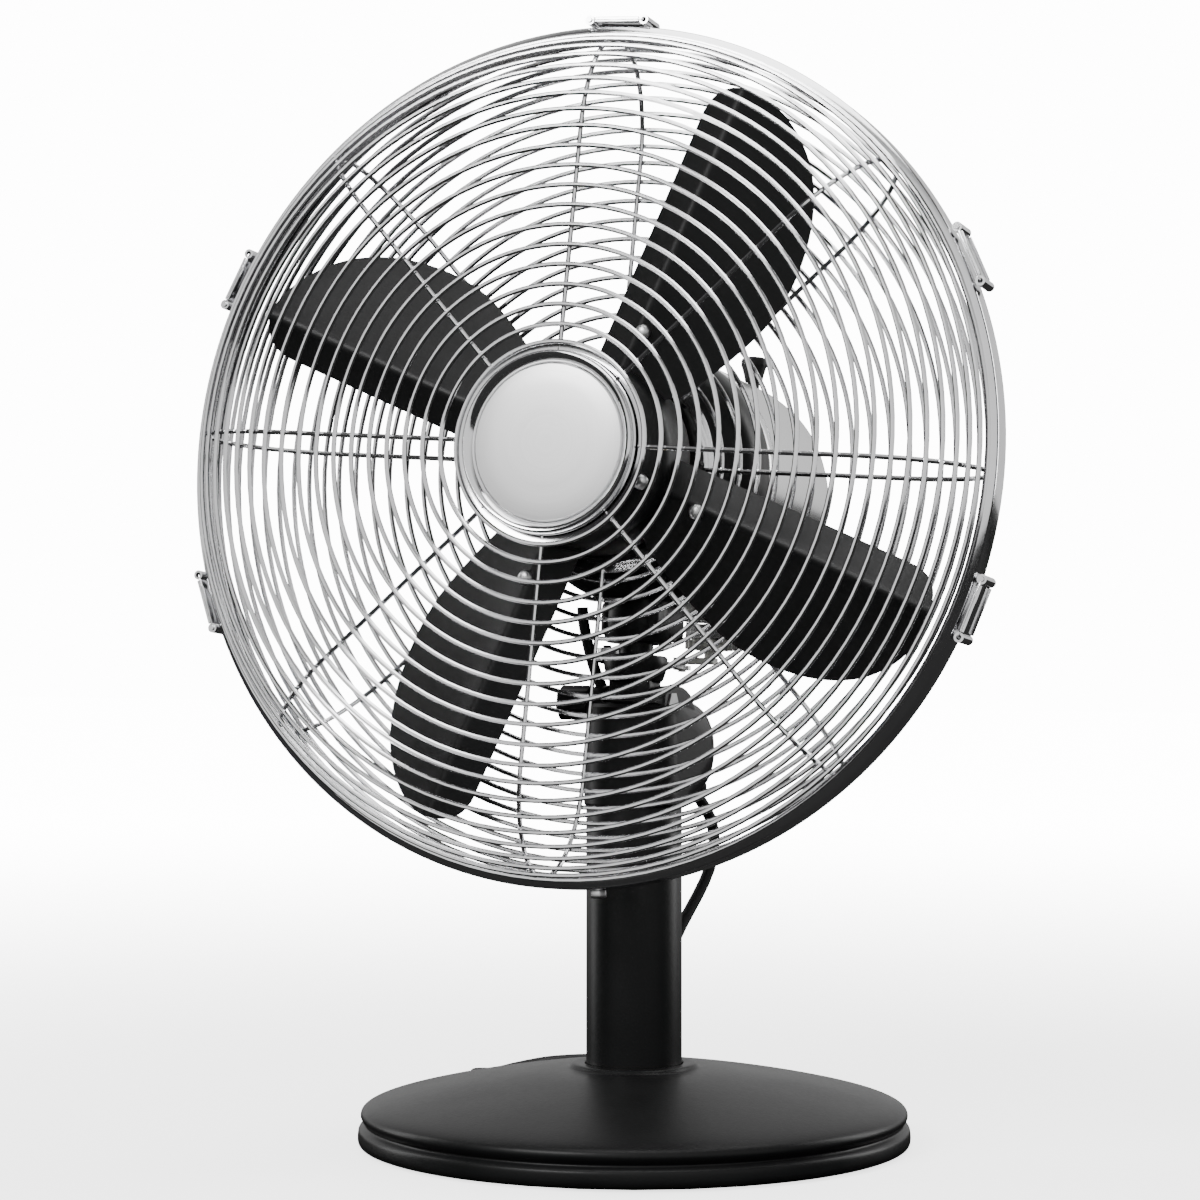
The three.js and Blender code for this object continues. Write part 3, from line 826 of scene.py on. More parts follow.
@dataclass
class Leads:
    """The mains flex with its relief, coil and plug, and the short lead into the motor."""

    shop: Workshop
    flex: float = 5.8
    length: float = 1.62
    lead: float = 5.4
    route: Point3 = (-0.415, 0.91, 0.0)
    across: Point3 = (0.91, 0.415, 0.0)
    exit_at: Point3 = (0.0, 66.1, 168.3)
    coil_at: Point = (-12.0, 181.0)
    coil_radius: float = 41.3
    full_turns: int = 6
    last_turn: float = 140.0
    plug_at: Point = (-74.0, 154.0)

    def at(self, side: float, along: float, up: float) -> Vector:
        """A point told from the flex's route.

        Args:
            side: how far sideways from the route.
            along: how far along it from the pole.
            up: the height.

        Returns:
            The point in the fan's frame.
        """
        return Vector(self.across) * side + Vector(self.route) * along + Vector((0, 0, up))

    def hanging(self) -> list[Vector]:
        """The flex from the box, down behind the pole and over the base to the table.

        Returns:
            The points that it passes.
        """
        x, y, z = self.exit_at
        fall = [(30.5, 67, z - 1.6), (36, 78, 158.5), (41.5, 88, 149), (44, 93, 137), (41.5, 91, 123),
                (35, 84, 110), (27, 75, 97), (20, 66, 83), (16, 59, 69), (14, 57, 56), (14, 62, 44.5),
                (14.5, 71, 36.5), (15, 85, 32.2), (16, 100, 28.6), (17.5, 113, 25.6), (19, 123, 23.6),
                (20.5, 131.5, 19.4), (22, 138.5, 12.8), (23.5, 145, 7.6), (25, 153, 4.1), (27, 164, 3.2)]
        return [Vector((x, y + 1, z)), Vector((x, y + 6, z - 0.4)), *(self.at(*p) for p in fall)]

    def coiled(self, turns: float) -> list[Vector]:
        """Two layers of turns: inwards on the table, then outwards on top.

        Args:
            turns: the turns in both layers.

        Returns:
            Points along the coil.
        """
        pitch = self.flex + 0.15
        half = turns / 2
        points = []
        steps = round(turns * 20)
        for k in range(steps + 1):
            done = turns * k / steps
            inward = min(done, half)
            outward = max(done - half, 0.0)
            radius = self.coil_radius - pitch * (inward - outward)
            rise = min(max((done - half + 0.25) / 0.5, 0.0), 1.0)
            up = self.flex / 2 + 0.3 + (self.flex * 0.97) * rise * rise * (3 - 2 * rise)
            a = math.tau * done
            side = self.coil_at[0] + radius * math.cos(a)
            along = self.coil_at[1] + radius * math.sin(a)
            points.append(self.at(side, along, up))
        return points

    def tail(self) -> list[Vector]:
        """The free end, from the coil into the plug.

        Returns:
            The points that it passes.
        """
        side, along = self.plug_at
        return [self.at(-57.5, 192.5, 8.2), self.at(-68.0, 181.5, 7.0), self.at(side, along + 17.5, 6.2),
                self.at(side, along + 11.0, 6.0)]

    def centreline(self) -> list[Vector]:
        """The whole flex as one smooth line of the real length.

        Returns:
            Points close together along the line.
        """
        whole = self.full_turns + self.last_turn / 360
        raw = [*self.hanging(), *self.coiled(whole)[1:], *self.tail()]
        return [Vector(p) for p in curve_through([tuple(p) for p in raw], 2)]

    def flex_piece(self) -> bpy.types.Object:
        """The flex as one curve.

        Returns:
            The curve object.
        """
        points = self.centreline()
        data = bpy.data.curves.new("mains_flex", "CURVE")
        data.dimensions = "3D"
        data.bevel_depth = self.flex / 2 * MM
        data.bevel_resolution = 4
        data.use_fill_caps = True
        spline = data.splines.new("POLY")
        spline.points.add(len(points) - 1)
        for point, place in zip(spline.points, points):
            point.co = (*(place * MM), 1.0)
        made = bpy.data.objects.new("mains_flex", data)
        bpy.context.collection.objects.link(made)
        return made

    def relief(self) -> bpy.types.Object:
        """The ribbed, tapered sleeve where the flex leaves the box.

        Returns:
            The piece.
        """
        wall = self.flex / 2 + 0.25
        profile = [(wall, 24.0), (wall + 0.5, 24.3), (wall + 0.9, 23.8)]
        for k in range(6):
            y = 22.5 - 3.2 * k
            r = wall + 0.9 + 0.14 * (6 - abs(6 - k)) + 0.12 * k
            profile += [(r, y), (r, y - 1.7), (r - 0.55, y - 1.9), (r - 0.55, y - 2.9)]
        profile += [(5.2, 3.6), (5.4, 1.0), (5.0, -6.0), (wall, -6.0)]
        form = Form().turn(profile, 40, Axis.Y)
        x, y, z = self.exit_at
        form.move(shift(x, y - 4, z + 0.4) @ turn_about("X", -9.0))
        return self.shop.fit(form, "flex_relief", "flex_rubber", Body.STAND, "strain_relief", in_head=False)

    def plug(self) -> tuple[bpy.types.Object, bpy.types.Object]:
        """A flat two-pin plug with a grip, a tapered tail and round pins.

        Returns:
            The body and the pins.
        """
        form = Form()
        outline = [(-4.2, -16.5), (4.2, -16.5), (6.4, -9.0), (6.9, -1.0), (9.6, 6.0), (12.9, 9.5),
                   (12.9, 17.6), (-12.9, 17.6), (-12.9, 9.5), (-9.6, 6.0), (-6.9, -1.0), (-6.4, -9.0)]
        form.plate(curve_through(outline, 3, True), 0.2, 11.8)
        form.ease(1.6, 3, 50.0)
        for side in (-1, 1):
            for k in range(4):
                middle, low = side * 6.4, -9.0 + 2.6 * k
                rib = Form().block((middle - 0.8, low, 2.4), (middle + 0.8, low + 1.2, 9.6))
                form.add(rib.ease(0.35, 1))
        sleeve = Form().turn([(3.0, -17.2), (3.7, -17.2), (4.4, -14.0), (3.0, -14.0)], 32, Axis.Y)
        form.add(sleeve, shift(0, 0, 6))
        x, y, _ = self.at(*self.plug_at, 0)
        turned = turn_about("Z", math.degrees(math.atan2(self.across[1], self.across[0])) + 180)
        place = shift(x, y, 0) @ turned
        form.move(place)
        body = self.shop.fit(form, "plug_body", "flex_rubber", Body.STAND, "plug", in_head=False,
                             smooth=50)
        pins = Form()
        for side in (-9.5, 9.5):
            profile = [(0, 16.0), (2.0, 16.0), (2.0, 35.0), (1.4, 36.0), (0, 36.0)]
            pins.add(Form().turn(profile, 24, Axis.Y, False), shift(side, 0, 6))
        pins.move(place)
        return body, self.shop.fit(pins, "plug_pins", "brass", Body.STAND, in_head=False)

    def motor_lead(self) -> None:
        """The short lead from the motor's underside down into the tilt housing."""
        points = [(-27.2, 1.2, 255.0), (-27.0, 1.4, 250.0), (-26.2, 1.8, 244.0), (-25.0, 2.2, 238.0),
                  (-23.6, 2.5, 232.0), (-21.8, 2.8, 226.0), (-19.6, 2.9, 220.5), (-17.4, 3.0, 215.5)]
        line = curve_through(points, 4)
        form = rods([line], self.lead / 2, 5)
        made = form.piece("motor_lead_flex")
        self.shop.palette.dress(made, "flex_rubber")
        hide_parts("motor_lead")
        path = [tuple(Vector(p) * MM) for p in line]
        real = sum((Vector(b) - Vector(a)).length for a, b in zip(path, path[1:]))
        LOG.info("motor_lead_flex: %.4f m", real)
        path[0]
        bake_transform(made)

    def build(self) -> None:
        """Makes every lead."""
        flex = self.flex_piece()
        self.shop.palette.dress(flex, "flex_rubber")
        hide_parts("cord", "cord_coil")
        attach(flex, Body.STAND.value)
        self.relief()
        body, pins = self.plug()
        points = self.centreline()
        real = sum((b - a).length for a, b in zip(points, points[1:])) * MM
        LOG.info("mains_flex: %.3f m", real)
        tuple(points[0] * MM)
        self.motor_lead()


# ---------------------------------------------------------------- stand


@dataclass
class Base:
    """The pressed steel base with its weight, rolled rim and raised collar."""

    shop: Workshop
    profile: list[Point] = field(default_factory=lambda: [
        (129.2, 0.7), (130.6, 1.4), (131.3, 3.2), (131.2, 6.4), (130.6, 8.6), (128.4, 10.2), (128.0, 11.2),
        (129.0, 12.4), (129.9, 14.2), (129.6, 16.2), (128.0, 17.9), (124.0, 19.7), (117.0, 21.8),
        (108.0, 24.0), (98.0, 26.2), (86.0, 28.6), (74.0, 30.8), (62.0, 32.8), (50.0, 34.6), (41.0, 35.6),
        (34.0, 36.1), (31.4, 36.4), (30.4, 37.2), (29.6, 38.1), (28.2, 38.5), (25.0, 38.5), (23.6, 38.3),
        (23.2, 37.4),
    ])

    def build(self) -> None:
        """Makes the base."""
        outer = curve_through(self.profile, 3)
        inner = [(23.2, 36.6), (29.0, 36.6), (34.0, 34.3), (62.0, 31.0), (98.0, 24.4), (124.0, 17.6),
                 (127.4, 14.0), (126.2, 11.0), (129.4, 6.0), (129.2, 2.0)]
        form = Form().turn([*outer, *inner], 160)
        self.shop.fit(form, "base_pressing", "black_enamel", Body.STAND, "base_shell", in_head=False,
                      smooth=60)


@dataclass
class Pole:
    """The short pole."""

    shop: Workshop
    radius: float = POLE_RADIUS

    def build(self) -> None:
        """Makes the pole as a turned tube with a faint rolled end."""
        r = self.radius
        profile = [(r, 22.5), (r, 161.6), (r - 0.5, 162.6), (r - 1.6, 162.8), (r - 1.6, 22.5)]
        form = Form().turn(profile, 96)
        self.shop.fit(form, "pole_sleeve", "black_enamel", Body.STAND, "pole_tube", in_head=False)


@dataclass
class ControlBox:
    """The switch housing on the pole: a round front, a blown-out back and the tilt fork on top."""

    shop: Workshop
    radius: float = POLE_RADIUS
    back: float = 43.0

    def shell(self) -> Form:
        """The housing, stretched from the pole's round to the full round back.

        Returns:
            The housing as a form.
        """
        r = self.radius
        low = 163.3
        front = [(r - 0.8, low), (r, low + 0.8), (r, 204.0), (r - 1.5, 208.0), (r - 5, 210.0), (0, 210.6)]
        nose = [(0, low), (11.0, low + 0.4), (16.5, low + 3.2), (20.6, low + 9.0), (22.6, low + 17.0),
                (22.8, 186.0), (22.4, 192.0), (20.6, 199.0), (17.0, 204.6), (11.0, 208.6), (0, 210.4)]
        form = Form().turn(curve_through([(0, low), *front], 3), 64, Axis.Z, False)
        back = Form().turn(curve_through(nose, 3), 64, Axis.Z, False)
        form.add(back, shift(0, self.back, 0))
        form.tidy()
        made = bmesh.ops.convex_hull(form.bm, input=form.bm.verts, use_existing_faces=False)
        spare = made["geom_interior"] + made["geom_unused"]
        inside = [g for g in spare if isinstance(g, bmesh.types.BMVert)]
        bmesh.ops.delete(form.bm, geom=inside, context="VERTS")
        return form

    def build(self) -> None:
        """Makes the housing, the fork and the knobs."""
        shell = self.shell()
        bmesh.ops.bisect_plane(
            shell.bm, geom=[*shell.bm.verts, *shell.bm.edges, *shell.bm.faces], dist=0.0001,
            plane_co=(0, 0, 200.2), plane_no=(0, 0, 1), clear_outer=False)
        self.shop.fit(shell, "switch_housing", "black_enamel", Body.STAND, "control_box", in_head=False,
                      smooth=35)
        self.fork()
        self.speed_knob()
        self.tilt_knob()

    def fork(self) -> None:
        """The two cheeks that hold the neck's lug, with the bridge behind them."""
        fork = Form()
        for side in (-1, 1):
            cheek = [(-10.5, 199.0), (-10.5, 206.0), (-9.0, 213.0), (-4.5, 217.0), (4.5, 217.6),
                     (14.0, 217.0), (24.0, 213.5), (30.0, 207.0), (32.0, 199.0)]
            plate = Form().plate(curve_through(cheek, 3), 11.7, 19.6).ease(1.2, 3, 50)
            turned = turn_about("Z", 90) @ turn_about("X", 90)
            fork.add(plate, Matrix.Scale(side, 4, (1, 0, 0)) @ turned)
        bridge = Form().block((-12.5, 15.0, 199.0), (12.5, 30.0, 213.0)).ease(2.5, 3)
        fork.add(bridge)
        self.shop.fit(fork, "tilt_cheeks", "black_enamel", Body.STAND, "tilt_fork", in_head=False)

    def speed_knob(self) -> None:
        """The dial on the back, with a raised pointer."""
        y = self.back + self.radius
        form = Form().turn([(0, y + 1), (9.6, y + 1), (10.0, y + 1.6), (9.7, y + 8.5), (9.0, y + 10.2),
                            (7.6, y + 10.8), (0, y + 10.8)], 48, Axis.Y, False)
        for k in range(24):
            rib = Form().block((-0.35, y + 2, 9.4), (0.35, y + 8.5, 10.0))
            form.add(rib, turn_about("Y", 15.0 * k))
        form.add(Form().block((-1.5, y + 10, -2), (1.5, y + 12.8, 9.0)).ease(0.6, 2))
        form.add(Form().turn([(0, 59.4), (3, 59.4), (3, y + 3), (0, y + 3)], 24, Axis.Y, False))
        form.move(shift(0, 0, 186.3))
        self.shop.fit(form, "speed_dial", "black_plastic", Body.SPEED_KNOB, "speed_knob", in_head=False)

    def tilt_knob(self) -> None:
        """The lobed knob that clamps the tilt."""
        lobes, points = 7, 98
        turns = [math.tau * k / points for k in range(points)]
        reach = [8.1 + 0.42 * math.cos(lobes * a) for a in turns]
        outline = [(r * math.cos(a), r * math.sin(a)) for a, r in zip(turns, reach)]
        form = Form().plate(outline, 21.5, 37.4).ease(1.0, 3, 50)
        form.add(Form().turn([(0, 17.0), (6.4, 17.0), (6.8, 22.5), (0, 22.5)], 40, Axis.Z, False))
        form.move(shift(0, 0, 209.0) @ turn_about("Y", -90))
        self.shop.fit(form, "tilt_grip", "black_plastic", Body.TILT_KNOB, "tilt_knob", in_head=False)


@dataclass
class Neck:
    """The swivel neck between the fork and the motor."""

    shop: Workshop
    def build(self) -> None:
        """Makes the neck in the head's frame, where it stands at rest."""
        profile = [(0, -98.5), (12.4, -98.5), (13.6, -97.0), (14.6, -93.5), (15.2, -90.5), (15.2, -87.0),
                   (14.6, -86.2), (0, -86.2)]
        form = Form().turn(profile, 64, Axis.Z, False)
        form.add(Form().block((-10.8, -7.5, -109.5), (10.8, 7.5, -97)).ease(1.5, 2))
        lug = [(0, -10.9), (7.4, -10.9), (7.9, -10.4), (7.9, 10.4), (7.4, 10.9), (0, 10.9)]
        knuckle = Form().turn(lug, 48, Axis.Z, False)
        form.add(knuckle, shift(0, 0, -109) @ turn_about("Y", 90))
        form.add(Form().drum(4.9, -88, -72.0, 32))
        form.add(Form().block((-18.6, -3.9, -89.8), (0, 3.9, -86.3)).ease(0.8, 2))
        form.add(Form().drum(2.0, -87, -81.2, 20), shift(-15, 0, 0))
        form.move(shift(0, SETBACK, 0))
        self.shop.fit(form, "swivel_neck", "black_enamel", Body.NECK, "neck")


# ---------------------------------------------------------------- head


@dataclass
class Motor:
    """The motor: a black front shell, a bright rear housing, its saddle and the swing knob."""

    shop: Workshop
    radius: float = 62.0
    front: float = 46.0
    split: float = 82.0
    back: float = 196.0

    def build(self) -> None:
        """Makes the motor's outside."""
        r, f, s, b = self.radius, self.front, self.split, self.back
        front = [(12.4, f), (38.0, f), (41.0, f + 1.0), (47.0, f + 5.0), (55.0, f + 9.5), (59.0, f + 13.0),
                 (61.2, f + 18.0), (62.0, f + 24.0), (r, s - 1.4), (r - 0.6, s - 0.4), (r - 1.8, s - 0.4)]
        inner = [(r - 2, s - 1.5), (r - 2, f + 24), (57.0, f + 14.5), (38.0, f + 2), (12.4, f + 2)]
        self.shop.fit(Form().turn([*front, *inner], 128, Axis.Y), "motor_front_cover", "black_enamel",
                      Body.HEAD, "motor_front_shell")
        rear = [(r - 1.4, s + 0.1), (r - 0.2, s + 0.6), (r, s + 1.4), (r, s + 6.0), (r - 0.8, s + 6.6),
                (r - 0.8, s + 8.0), (r, s + 8.6), (r, b - 36), (r - 0.7, b - 28), (r - 3.4, b - 19),
                (r - 8.4, b - 10.6), (r - 16, b - 5.0), (r - 27, b - 1.8), (r - 41, b - 0.4), (3.2, b)]
        wall = [(3.2, b - 2), (30, b - 3), (50, b - 9), (r - 3.8, b - 20), (r - 2, b - 35), (r - 2, s + 0.1)]
        self.shop.fit(Form().turn([*rear, *wall], 128, Axis.Y), "motor_rear_housing", "housing_silver",
                      Body.HEAD, "motor_rear_shell")
        self.saddle()
        self.plate()
        self.swing_knob()

    def saddle(self) -> None:
        """The swivel saddle under the motor."""
        form = Form().turn([(5.3, -85.3), (8.2, -85.3), (8.2, -80.2), (14.4, -79.8), (15.4, -78.6),
                            (15.5, -60.0), (14.0, -58.0), (5.3, -58.0)], 64)
        form.add(Form().block((-14.8, -11.5, -77.4), (14.8, 25.5, -60.5)).ease(3.0, 3))
        form.move(shift(0, SETBACK, 0))
        self.shop.fit(form, "swivel_saddle", "black_enamel", Body.HEAD, "swivel_deck")

    def plate(self) -> None:
        """The ring that the rear grille sits on, and the ribbed nut that holds it there."""
        seat = [(6.0, 37.9), (39.0, 37.9), (39.8, 38.6), (39.8, 43.0), (39.0, 43.6), (6.0, 43.6)]
        form = Form().turn(seat, 96, Axis.Y)
        self.shop.fit(form, "grille_seat_ring", "black_enamel", Body.HEAD, "grille_plate")
        nut = Form().turn([(8.0, 35.1), (45.4, 35.1), (46.0, 34.4), (45.6, 30.6), (44.6, 29.6), (30.0, 29.6),
                           (27.0, 31.8), (8.0, 31.8)], 96, Axis.Y)
        ribs = 20
        for k in range(ribs):
            rib = Form().block((-1.2, 30.0, 45.2), (1.2, 34.8, 46.4)).ease(0.4, 1)
            nut.add(rib, turn_about("Y", 360 / ribs * k))
        self.shop.fit(nut, "grille_ring_nut", "black_plastic", Body.HEAD, "grille_nut")

    def swing_knob(self) -> None:
        """The pull knob that starts and stops the swing."""
        side, along, ribs = 18.0, 172.0, 16
        top = math.sqrt(self.radius ** 2 - side ** 2)
        cap = [(0, 2.6), (4.0, 2.6), (4.4, 3.0), (5.0, 6.0), (6.3, 10.4), (6.6, 12.0), (6.3, 14.2),
               (5.2, 15.0), (0, 14.6)]
        form = Form().turn([(r, top + up) for r, up in cap], 48, Axis.Z, False)
        for k in range(ribs):
            rib = Form().block((5.9, -0.35, top + 10.6), (6.6, 0.35, top + 13.6))
            form.add(rib, turn_about("Z", 360 / ribs * k))
        form.add(Form().drum(3.0, 11.0, top + 3.4, 24))
        form.move(shift(side, along, 0))
        self.shop.fit(form, "swing_pull", "black_plastic", Body.SWING_KNOB, "swing_knob")


@dataclass
class Rotor:
    """The four-blade fan wheel with its hub and nut."""

    shop: Workshop
    blades: int = 4
    first: float = 66.8
    hub: float = 44.0
    thickness: float = 1.3
    pitch: float = 23.0
    lip: float = 19.0
    rivet_spots: tuple[Point3, ...] = ((0.0, -10.3, 36.4), (2.4, 1.2, 62.5))
    outline: list[Point] = field(default_factory=lambda: [
        (-16.8, 41.0), (-17.0, 100.0), (-17.0, 160.0), (-16.4, 169.0), (-13.8, 175.5), (-8.0, 180.2),
        (0.0, 182.2), (9.6, 182.4), (19.0, 180.0), (27.8, 175.6), (36.0, 169.4), (43.6, 161.0), (50.0, 149.6),
        (54.6, 136.0), (56.8, 121.0), (56.8, 106.0), (54.0, 90.0), (47.6, 74.0), (39.4, 58.0), (30.0, 42.0),
        (20.0, 36.0), (0.0, 36.0)])

    def sheet(self) -> Form:
        """One blade, flat, cut along the lines that it bends on and then bent.

        Returns:
            The blade, pointing along Y.
        """
        form = Form()
        line = curve_through(self.outline[:-2], 3)
        form.bm.faces.new([form.bm.verts.new((x, y, 0)) for x, y in [*line, *self.outline[-2:]]])
        bends = (-13, -9, -5, -2.2, -0.8, 0.8, 2.2, 6, 12, 20, 28, 36, 44, 50)
        cuts = [((x, 0, 0), (1, 0, 0)) for x in bends]
        cuts += [((0, y, 0), (0, 1, 0)) for y in range(48, 180, 12)]
        for place, normal in cuts:
            geom = [*form.bm.verts, *form.bm.edges, *form.bm.faces]
            bmesh.ops.bisect_plane(form.bm, geom=geom, dist=0.0001, plane_co=place, plane_no=normal)
        slope, fold = math.radians(self.pitch), math.radians(self.lip)
        for vert in form.bm.verts:
            x, y, _ = vert.co
            angle = slope if x >= 0 else fold
            run = abs(x)
            round_off = 1 - math.exp(-run / 1.8)
            twist = 1.0 - (y - 110.0) / 700.0
            camber = 1.0 + 0.10 * (1 - (run / 57.0)) if x >= 0 else 1.0
            vert.co.z = -run * math.sin(angle * twist) * round_off * camber
            vert.co.x = math.copysign(run * math.cos(angle), x)
        bmesh.ops.recalc_face_normals(form.bm, faces=form.bm.faces)
        bmesh.ops.solidify(form.bm, geom=form.bm.faces, thickness=self.thickness)
        return form

    def build(self) -> None:
        """Makes the hub, nut and blades."""
        h = self.hub
        cup = [(4.3, -10.0), (30.0, -10.0), (37.0, -9.2), (41.0, -7.0), (43.4, -3.6), (h, 1.0), (h, 23.2),
               (43.6, 24.0), (42.4, 24.0), (42.0, 23.2), (42.0, 1.0), (38.0, -6.0), (30.0, -8.0),
               (12.0, -8.0), (12.0, 16.0), (4.3, 16.0)]
        self.shop.fit(Form().turn(cup, 96, Axis.Y), "wheel_hub", "blade_enamel", Body.ROTOR, "blade_hub")
        nut = [(0, -26.0), (5.0, -25.8), (7.2, -24.4), (8.8, -21.5), (9.0, -12.0), (8.4, -10.4), (4.3, -10.4),
               (4.3, -18.4), (0, -18.4)]
        form = Form().turn(nut, 48, Axis.Y, False)
        ribs = 10
        for k in range(ribs):
            rib = Form().block((-0.9, -21.5, 8.2), (0.9, -11.0, 9.4)).ease(0.3, 1)
            form.add(rib, turn_about("Y", 360 / ribs * k))
        self.shop.fit(form, "wheel_nut", "black_plastic", Body.ROTOR, "spinner_nut")
        rivets = Form()
        for k in range(self.blades):
            sheet = self.sheet()
            turn = turn_about("Y", 90 - self.first - 360 / self.blades * k)
            for spot in self.rivet_spots:
                rivets.add(self.rivet(), turn @ shift(*spot))
            sheet.move(turn @ shift(0, 1.0, 0) @ turn_about("X", 90))
            sheet.tidy()
            name = f"blade_{k + 1}"
            self.shop.fit(sheet, f"fan_{name}", "blade_enamel", Body.ROTOR, name, smooth=30)
        self.shop.fit(rivets, "blade_rivets", "zinc", Body.ROTOR)

    def rivet(self) -> Form:
        """One rivet with a low round head, about the blow axis."""
        head = [(0, -1.9), (1.6, -1.8), (3.0, -1.2), (3.7, 0), (3.7, 1), (0, 1)]
        return Form().turn(head, 24, Axis.Y, False)


@dataclass
class Cage:
    """The two wire grilles, the hoop that joins them, its clips and the badge."""

    shop: Workshop
    roll: float = 3.2
    wire: float = 1.15
    depth: float = 38.0
    flat: float = 145.0
    rim: float = 195.1
    rim_wire: float = 1.9
    rim_at: float = 2.3
    rear_hole: float = 50.0
    spokes: int = 8
    seat_ring: float = 46.0
    flat_count: int = 11
    pitch: float = 9.1
    shoulder_count: int = 9
    shoulder_step: float = 8.9
    clip_angles: list[float] = field(default_factory=lambda: [90, 28, -17.5, 157.5, 203])
    nut_turn: float = 172.0

    def flat_rings(self) -> list[float]:
        """The ring on the badge's dish, and the evenly spaced rings out to the end of the flat."""
        return [self.seat_ring, *(self.flat - self.pitch * k for k in reversed(range(self.flat_count)))]

    def shoulder_rings(self) -> list[float]:
        """The rings of the shoulder, at even angles round its quarter ellipse."""
        reach = self.rim + 0.6 - self.flat
        angles = (math.radians(self.shoulder_step * (k + 1)) for k in range(self.shoulder_count))
        return [self.flat + reach * math.sin(t) for t in angles]

    def shoulder(self, r: float) -> float:
        """How deep the shoulder's round is.

        Args:
            r: the distance from the blow axis.

        Returns:
            The depth along the axis from the hoop's middle.
        """
        share = min(max((r - self.flat) / (self.rim + 0.6 - self.flat), 0.0), 1.0)
        return self.rim_at + (self.depth - self.rim_at) * math.sqrt(1 - share * share)

    def spoke(self, start: float, angle: float, inset: float) -> list[Point3]:
        """One spoke's line, inside the rings that it carries.

        Args:
            start: the distance from the axis at which it starts.
            angle: its place round the cage, in degrees.
            inset: how far it lies inside the rings.

        Returns:
            The points of the spoke.
        """
        line = [(start, self.depth - inset), (self.flat * 0.6, self.depth - inset)]
        reach, drop = self.rim + 0.6 - self.flat, self.depth - self.rim_at
        for degrees in range(0, 95, 5):
            t = math.radians(degrees)
            nr, ny = drop * math.sin(t), reach * math.cos(t)
            size = math.hypot(nr, ny)
            line.append((self.flat + reach * math.sin(t) - inset * nr / size,
                         self.rim_at + drop * math.cos(t) - inset * ny / size))
        a = math.radians(angle)
        return [(r * math.cos(a), y, r * math.sin(a)) for r, y in line]

    def grille(self, first: float) -> Form:
        """The wires of one grille, bowed towards +Y.

        Args:
            first: the radius of the innermost ring that it keeps.

        Returns:
            The wires.
        """
        form = Form()
        for r in self.flat_rings():
            if r >= first:
                form.ring(r, self.depth, self.wire)
        for r in self.shoulder_rings():
            form.ring(r, self.shoulder(r), self.wire)
        form.ring(self.rim, self.rim_at, self.rim_wire, sides=10)
        inset = 2 * self.wire - 0.15
        angles = [360 / self.spokes * k for k in range(self.spokes)]
        form.add(rods([self.spoke(first - 4, angle, inset) for angle in angles], self.wire))
        return form

    def build(self) -> None:
        """Makes the cage."""
        rolled = turn_about("Y", self.roll)
        front = self.grille(self.seat_ring)
        front.move(Matrix.Scale(-1, 4, (0, 1, 0)))
        front.tidy()
        front.add(self.front_dish())
        self.shop.fit(front.move(rolled), "front_wires", "bright_plating", Body.HEAD, "front_grille")
        rear = self.grille(self.rear_hole)
        collar = [(36.3, 35.7), (49.0, 35.7), (50.4, 36.6), (50.4, 37.4), (36.3, 37.4)]
        rear.add(Form().turn(collar, 96, Axis.Y))
        self.shop.fit(rear.move(rolled), "rear_wires", "bright_plating", Body.HEAD, "rear_grille")
        self.hoop(rolled)
        self.badge()
        for k, angle in enumerate(self.clip_angles):
            self.clip(k + 1, angle)

    def front_dish(self) -> Form:
        """The pressed dish behind the badge, which carries the inner ends of the spokes.

        Returns:
            The dish.
        """
        dish = [(0, 1.3), (43.0, 1.3), (45.4, 0.6), (46.2, 1.4), (44.0, 2.9), (0, 2.9)]
        return Form().turn([(r, y - self.depth) for r, y in dish], 96, Axis.Y, False)

    def hoop(self, rolled: Matrix) -> None:
        """The sprung band round both rims, with its edges sloped in, and its closing nut.

        Args:
            rolled: the turn that the cage is clipped on with.
        """
        flange = [(194.7, 7.6), (195.0, 8.3), (195.6, 8.5), (198.3, 7.0), (198.9, 6.3), (199.0, 5.4)]
        inner = [(198.1, 5.3), (198.0, 6.1), (197.5, 6.6), (195.6, 7.6), (195.2, 7.5)]
        profile = [(r, -y) for r, y in flange] + flange[::-1] + inner[::-1] + [(r, -y) for r, y in inner]
        form = Form().turn(profile, 192, Axis.Y)
        self.shop.fit(form.move(rolled), "cage_hoop", "bright_plating", Body.HEAD, "hoop")
        hexagon = [(0, 199.3), (3.9, 199.3), (3.9, 202.4), (3.2, 203.0), (0, 203.0)]
        nut = Form().turn(hexagon, 6, Axis.Z, False).ease(0.3, 2)
        nut.add(Form().drum(2.0, 196.0, 202.9, 20))
        nut.move(rolled @ turn_about("Y", self.nut_turn))
        self.shop.fit(nut, "closing_nut", "zinc", Body.HEAD, "hoop_nut")

    def badge(self) -> None:
        """The plain domed badge in its bright bezel."""
        front = shift(0, -self.depth, 0)
        disc = Form().turn([(0, -3.4), (14.0, -3.3), (26.0, -3.0), (33.0, -2.4), (35.4, -1.9), (36.0, -1.0),
                            (36.0, 0.1), (0, 0.1)], 128, Axis.Y, False)
        self.shop.fit(disc.move(front), "plain_badge", "badge_silver", Body.HEAD, "badge")
        ring = Form().turn([(36.3, -0.9), (36.7, -1.6), (38.2, -3.7), (39.4, -4.6), (40.3, -4.8),
                            (41.2, -4.2), (41.8, -2.8), (42.0, -1.0), (42.0, 0.1), (36.3, 0.1)], 128, Axis.Y)
        self.shop.fit(ring.move(front), "badge_ring", "bright_plating", Body.HEAD, "badge_bezel")

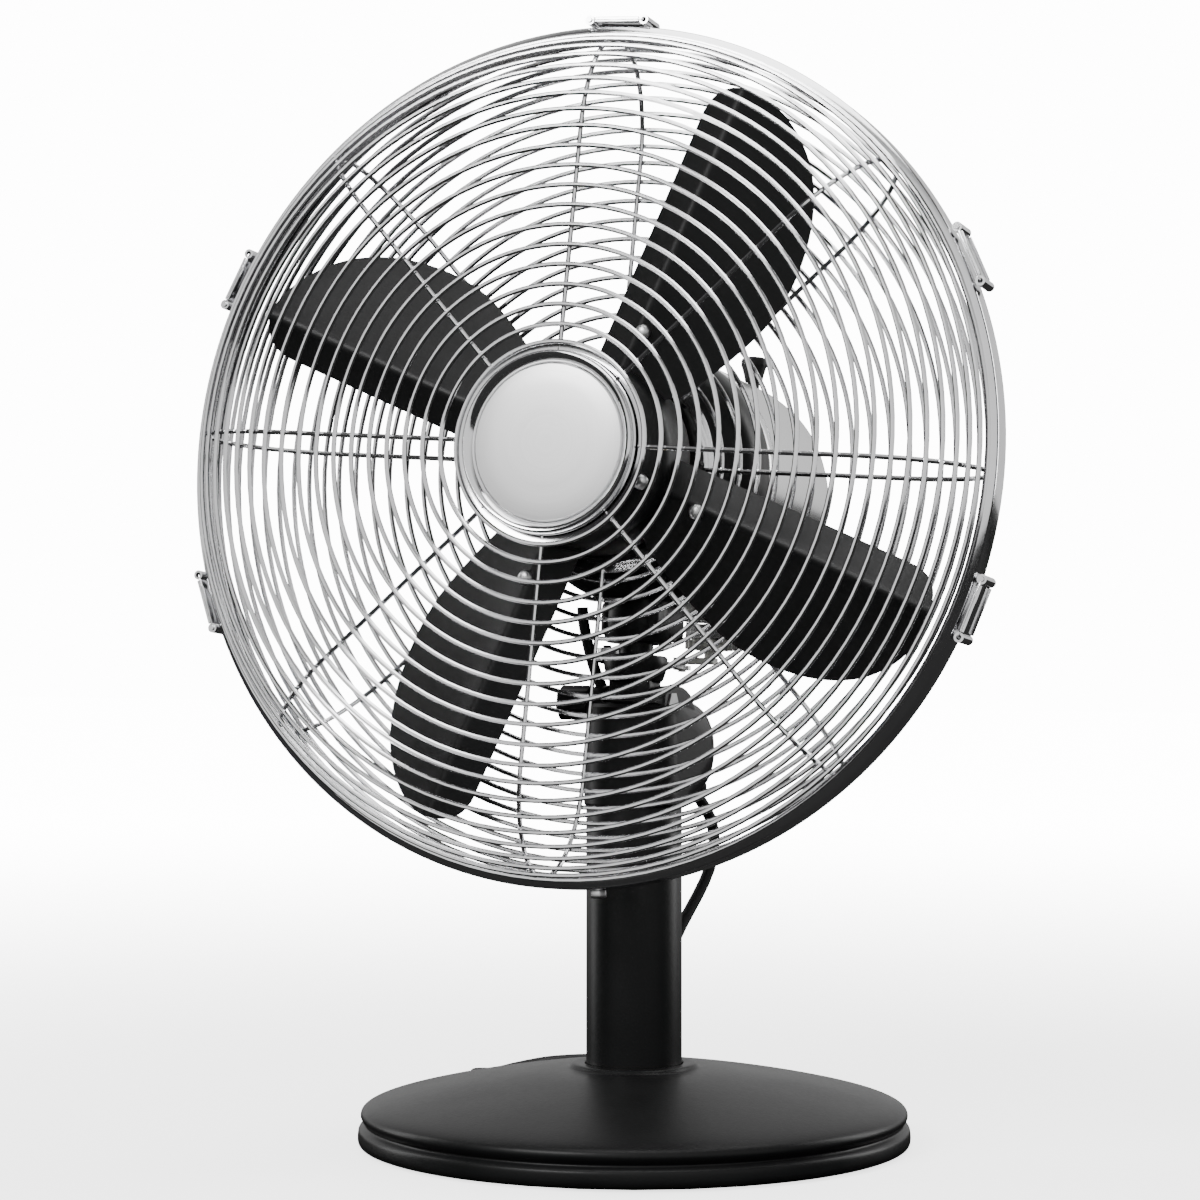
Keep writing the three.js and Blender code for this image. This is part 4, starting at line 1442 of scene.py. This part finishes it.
    def clip(self, number: int, angle: float) -> None:
        """One lever clip: a sprung plate between two rolled knuckles.

        Args:
            number: the clip's number.
            angle: its place round the cage before the cage is rolled.
        """
        half, long, centre = 7.3, 27.0, 201.9
        form = Form()
        for x in (0.0, long):
            curl = Form().turn([(1.2, -half), (2.25, -half), (2.25, half), (1.2, half)], 28, Axis.Y)
            form.add(curl, shift(x, 0, 0))
        form.add(Form().block((0, -half, -0.5), (long, half, 0.5)).ease(0.25, 2))
        for y in (-half + 0.4, half - 0.4):
            form.add(Form().block((2.5, y - 0.4, -0.9), (long - 2.5, y + 0.4, 1.5)).ease(0.25, 1))
        form.add(Form().drum(1.1, -half - 0.8, half + 0.8, 16, Axis.Y))
        place = turn_about("Y", 90 - angle + self.roll) @ shift(-long / 2, 0, centre)
        node = f"clip_{number}"
        self.shop.fit(form.move(place), f"lever_{node}", "bright_plating", Body(node), node)


# ---------------------------------------------------------------- the fan


KEPT = {
    "base_pad": "flex_rubber",
    "bottom_plate": "zinc",
    "base_weight": "iron_dark",
    "pole_flange": "iron_dark",
    "pole_bolt": "zinc",
    "speed_switch": "black_plastic",
    "tilt_bolt": "zinc",
    "gear_bracket": "housing_silver",
    "crank_gear": "white_nylon",
    "clutch_pinion": "zinc",
    "worm_wheel": "white_nylon",
    "swing_link": "zinc",
    "rotor_shaft": "zinc",
    "rotor_core": "iron_dark",
    "stator_core": "iron_dark",
    "stator_ring": "zinc",
    "front_winding": "lacquered_copper",
    "rear_winding": "lacquered_copper",
    "front_bearing": "brass",
    "rear_bearing": "brass",
    "rear_frame": "zinc",
}


def dress_kept(palette: Palette) -> None:
    """Gives every CAD node that stays its finish.

    Args:
        palette: the finishes.
    """
    for name, finish in KEPT.items():
        palette.dress(bpy.data.objects[name], finish)


def main() -> None:
    """Builds the fan on its frame."""
    logging.basicConfig(level=logging.INFO, format="%(name)s %(message)s")
    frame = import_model()
    joints = {joint["name"]: joint for joint in frame["joints"]}
    hub = tuple(joints["blade_spin"]["pos_m"])
    shop = Workshop(joints, Palette(hub))
    Studio().build()
    builders: list[Callable[[], None]] = [
        Leads(shop).build, Base(shop).build, Pole(shop).build, ControlBox(shop).build, Neck(shop).build,
        Motor(shop).build, Rotor(shop).build, Cage(shop).build,
    ]
    for build in builders:
        build()
    dress_kept(shop.palette)


if __name__ == "__main__":
    main()
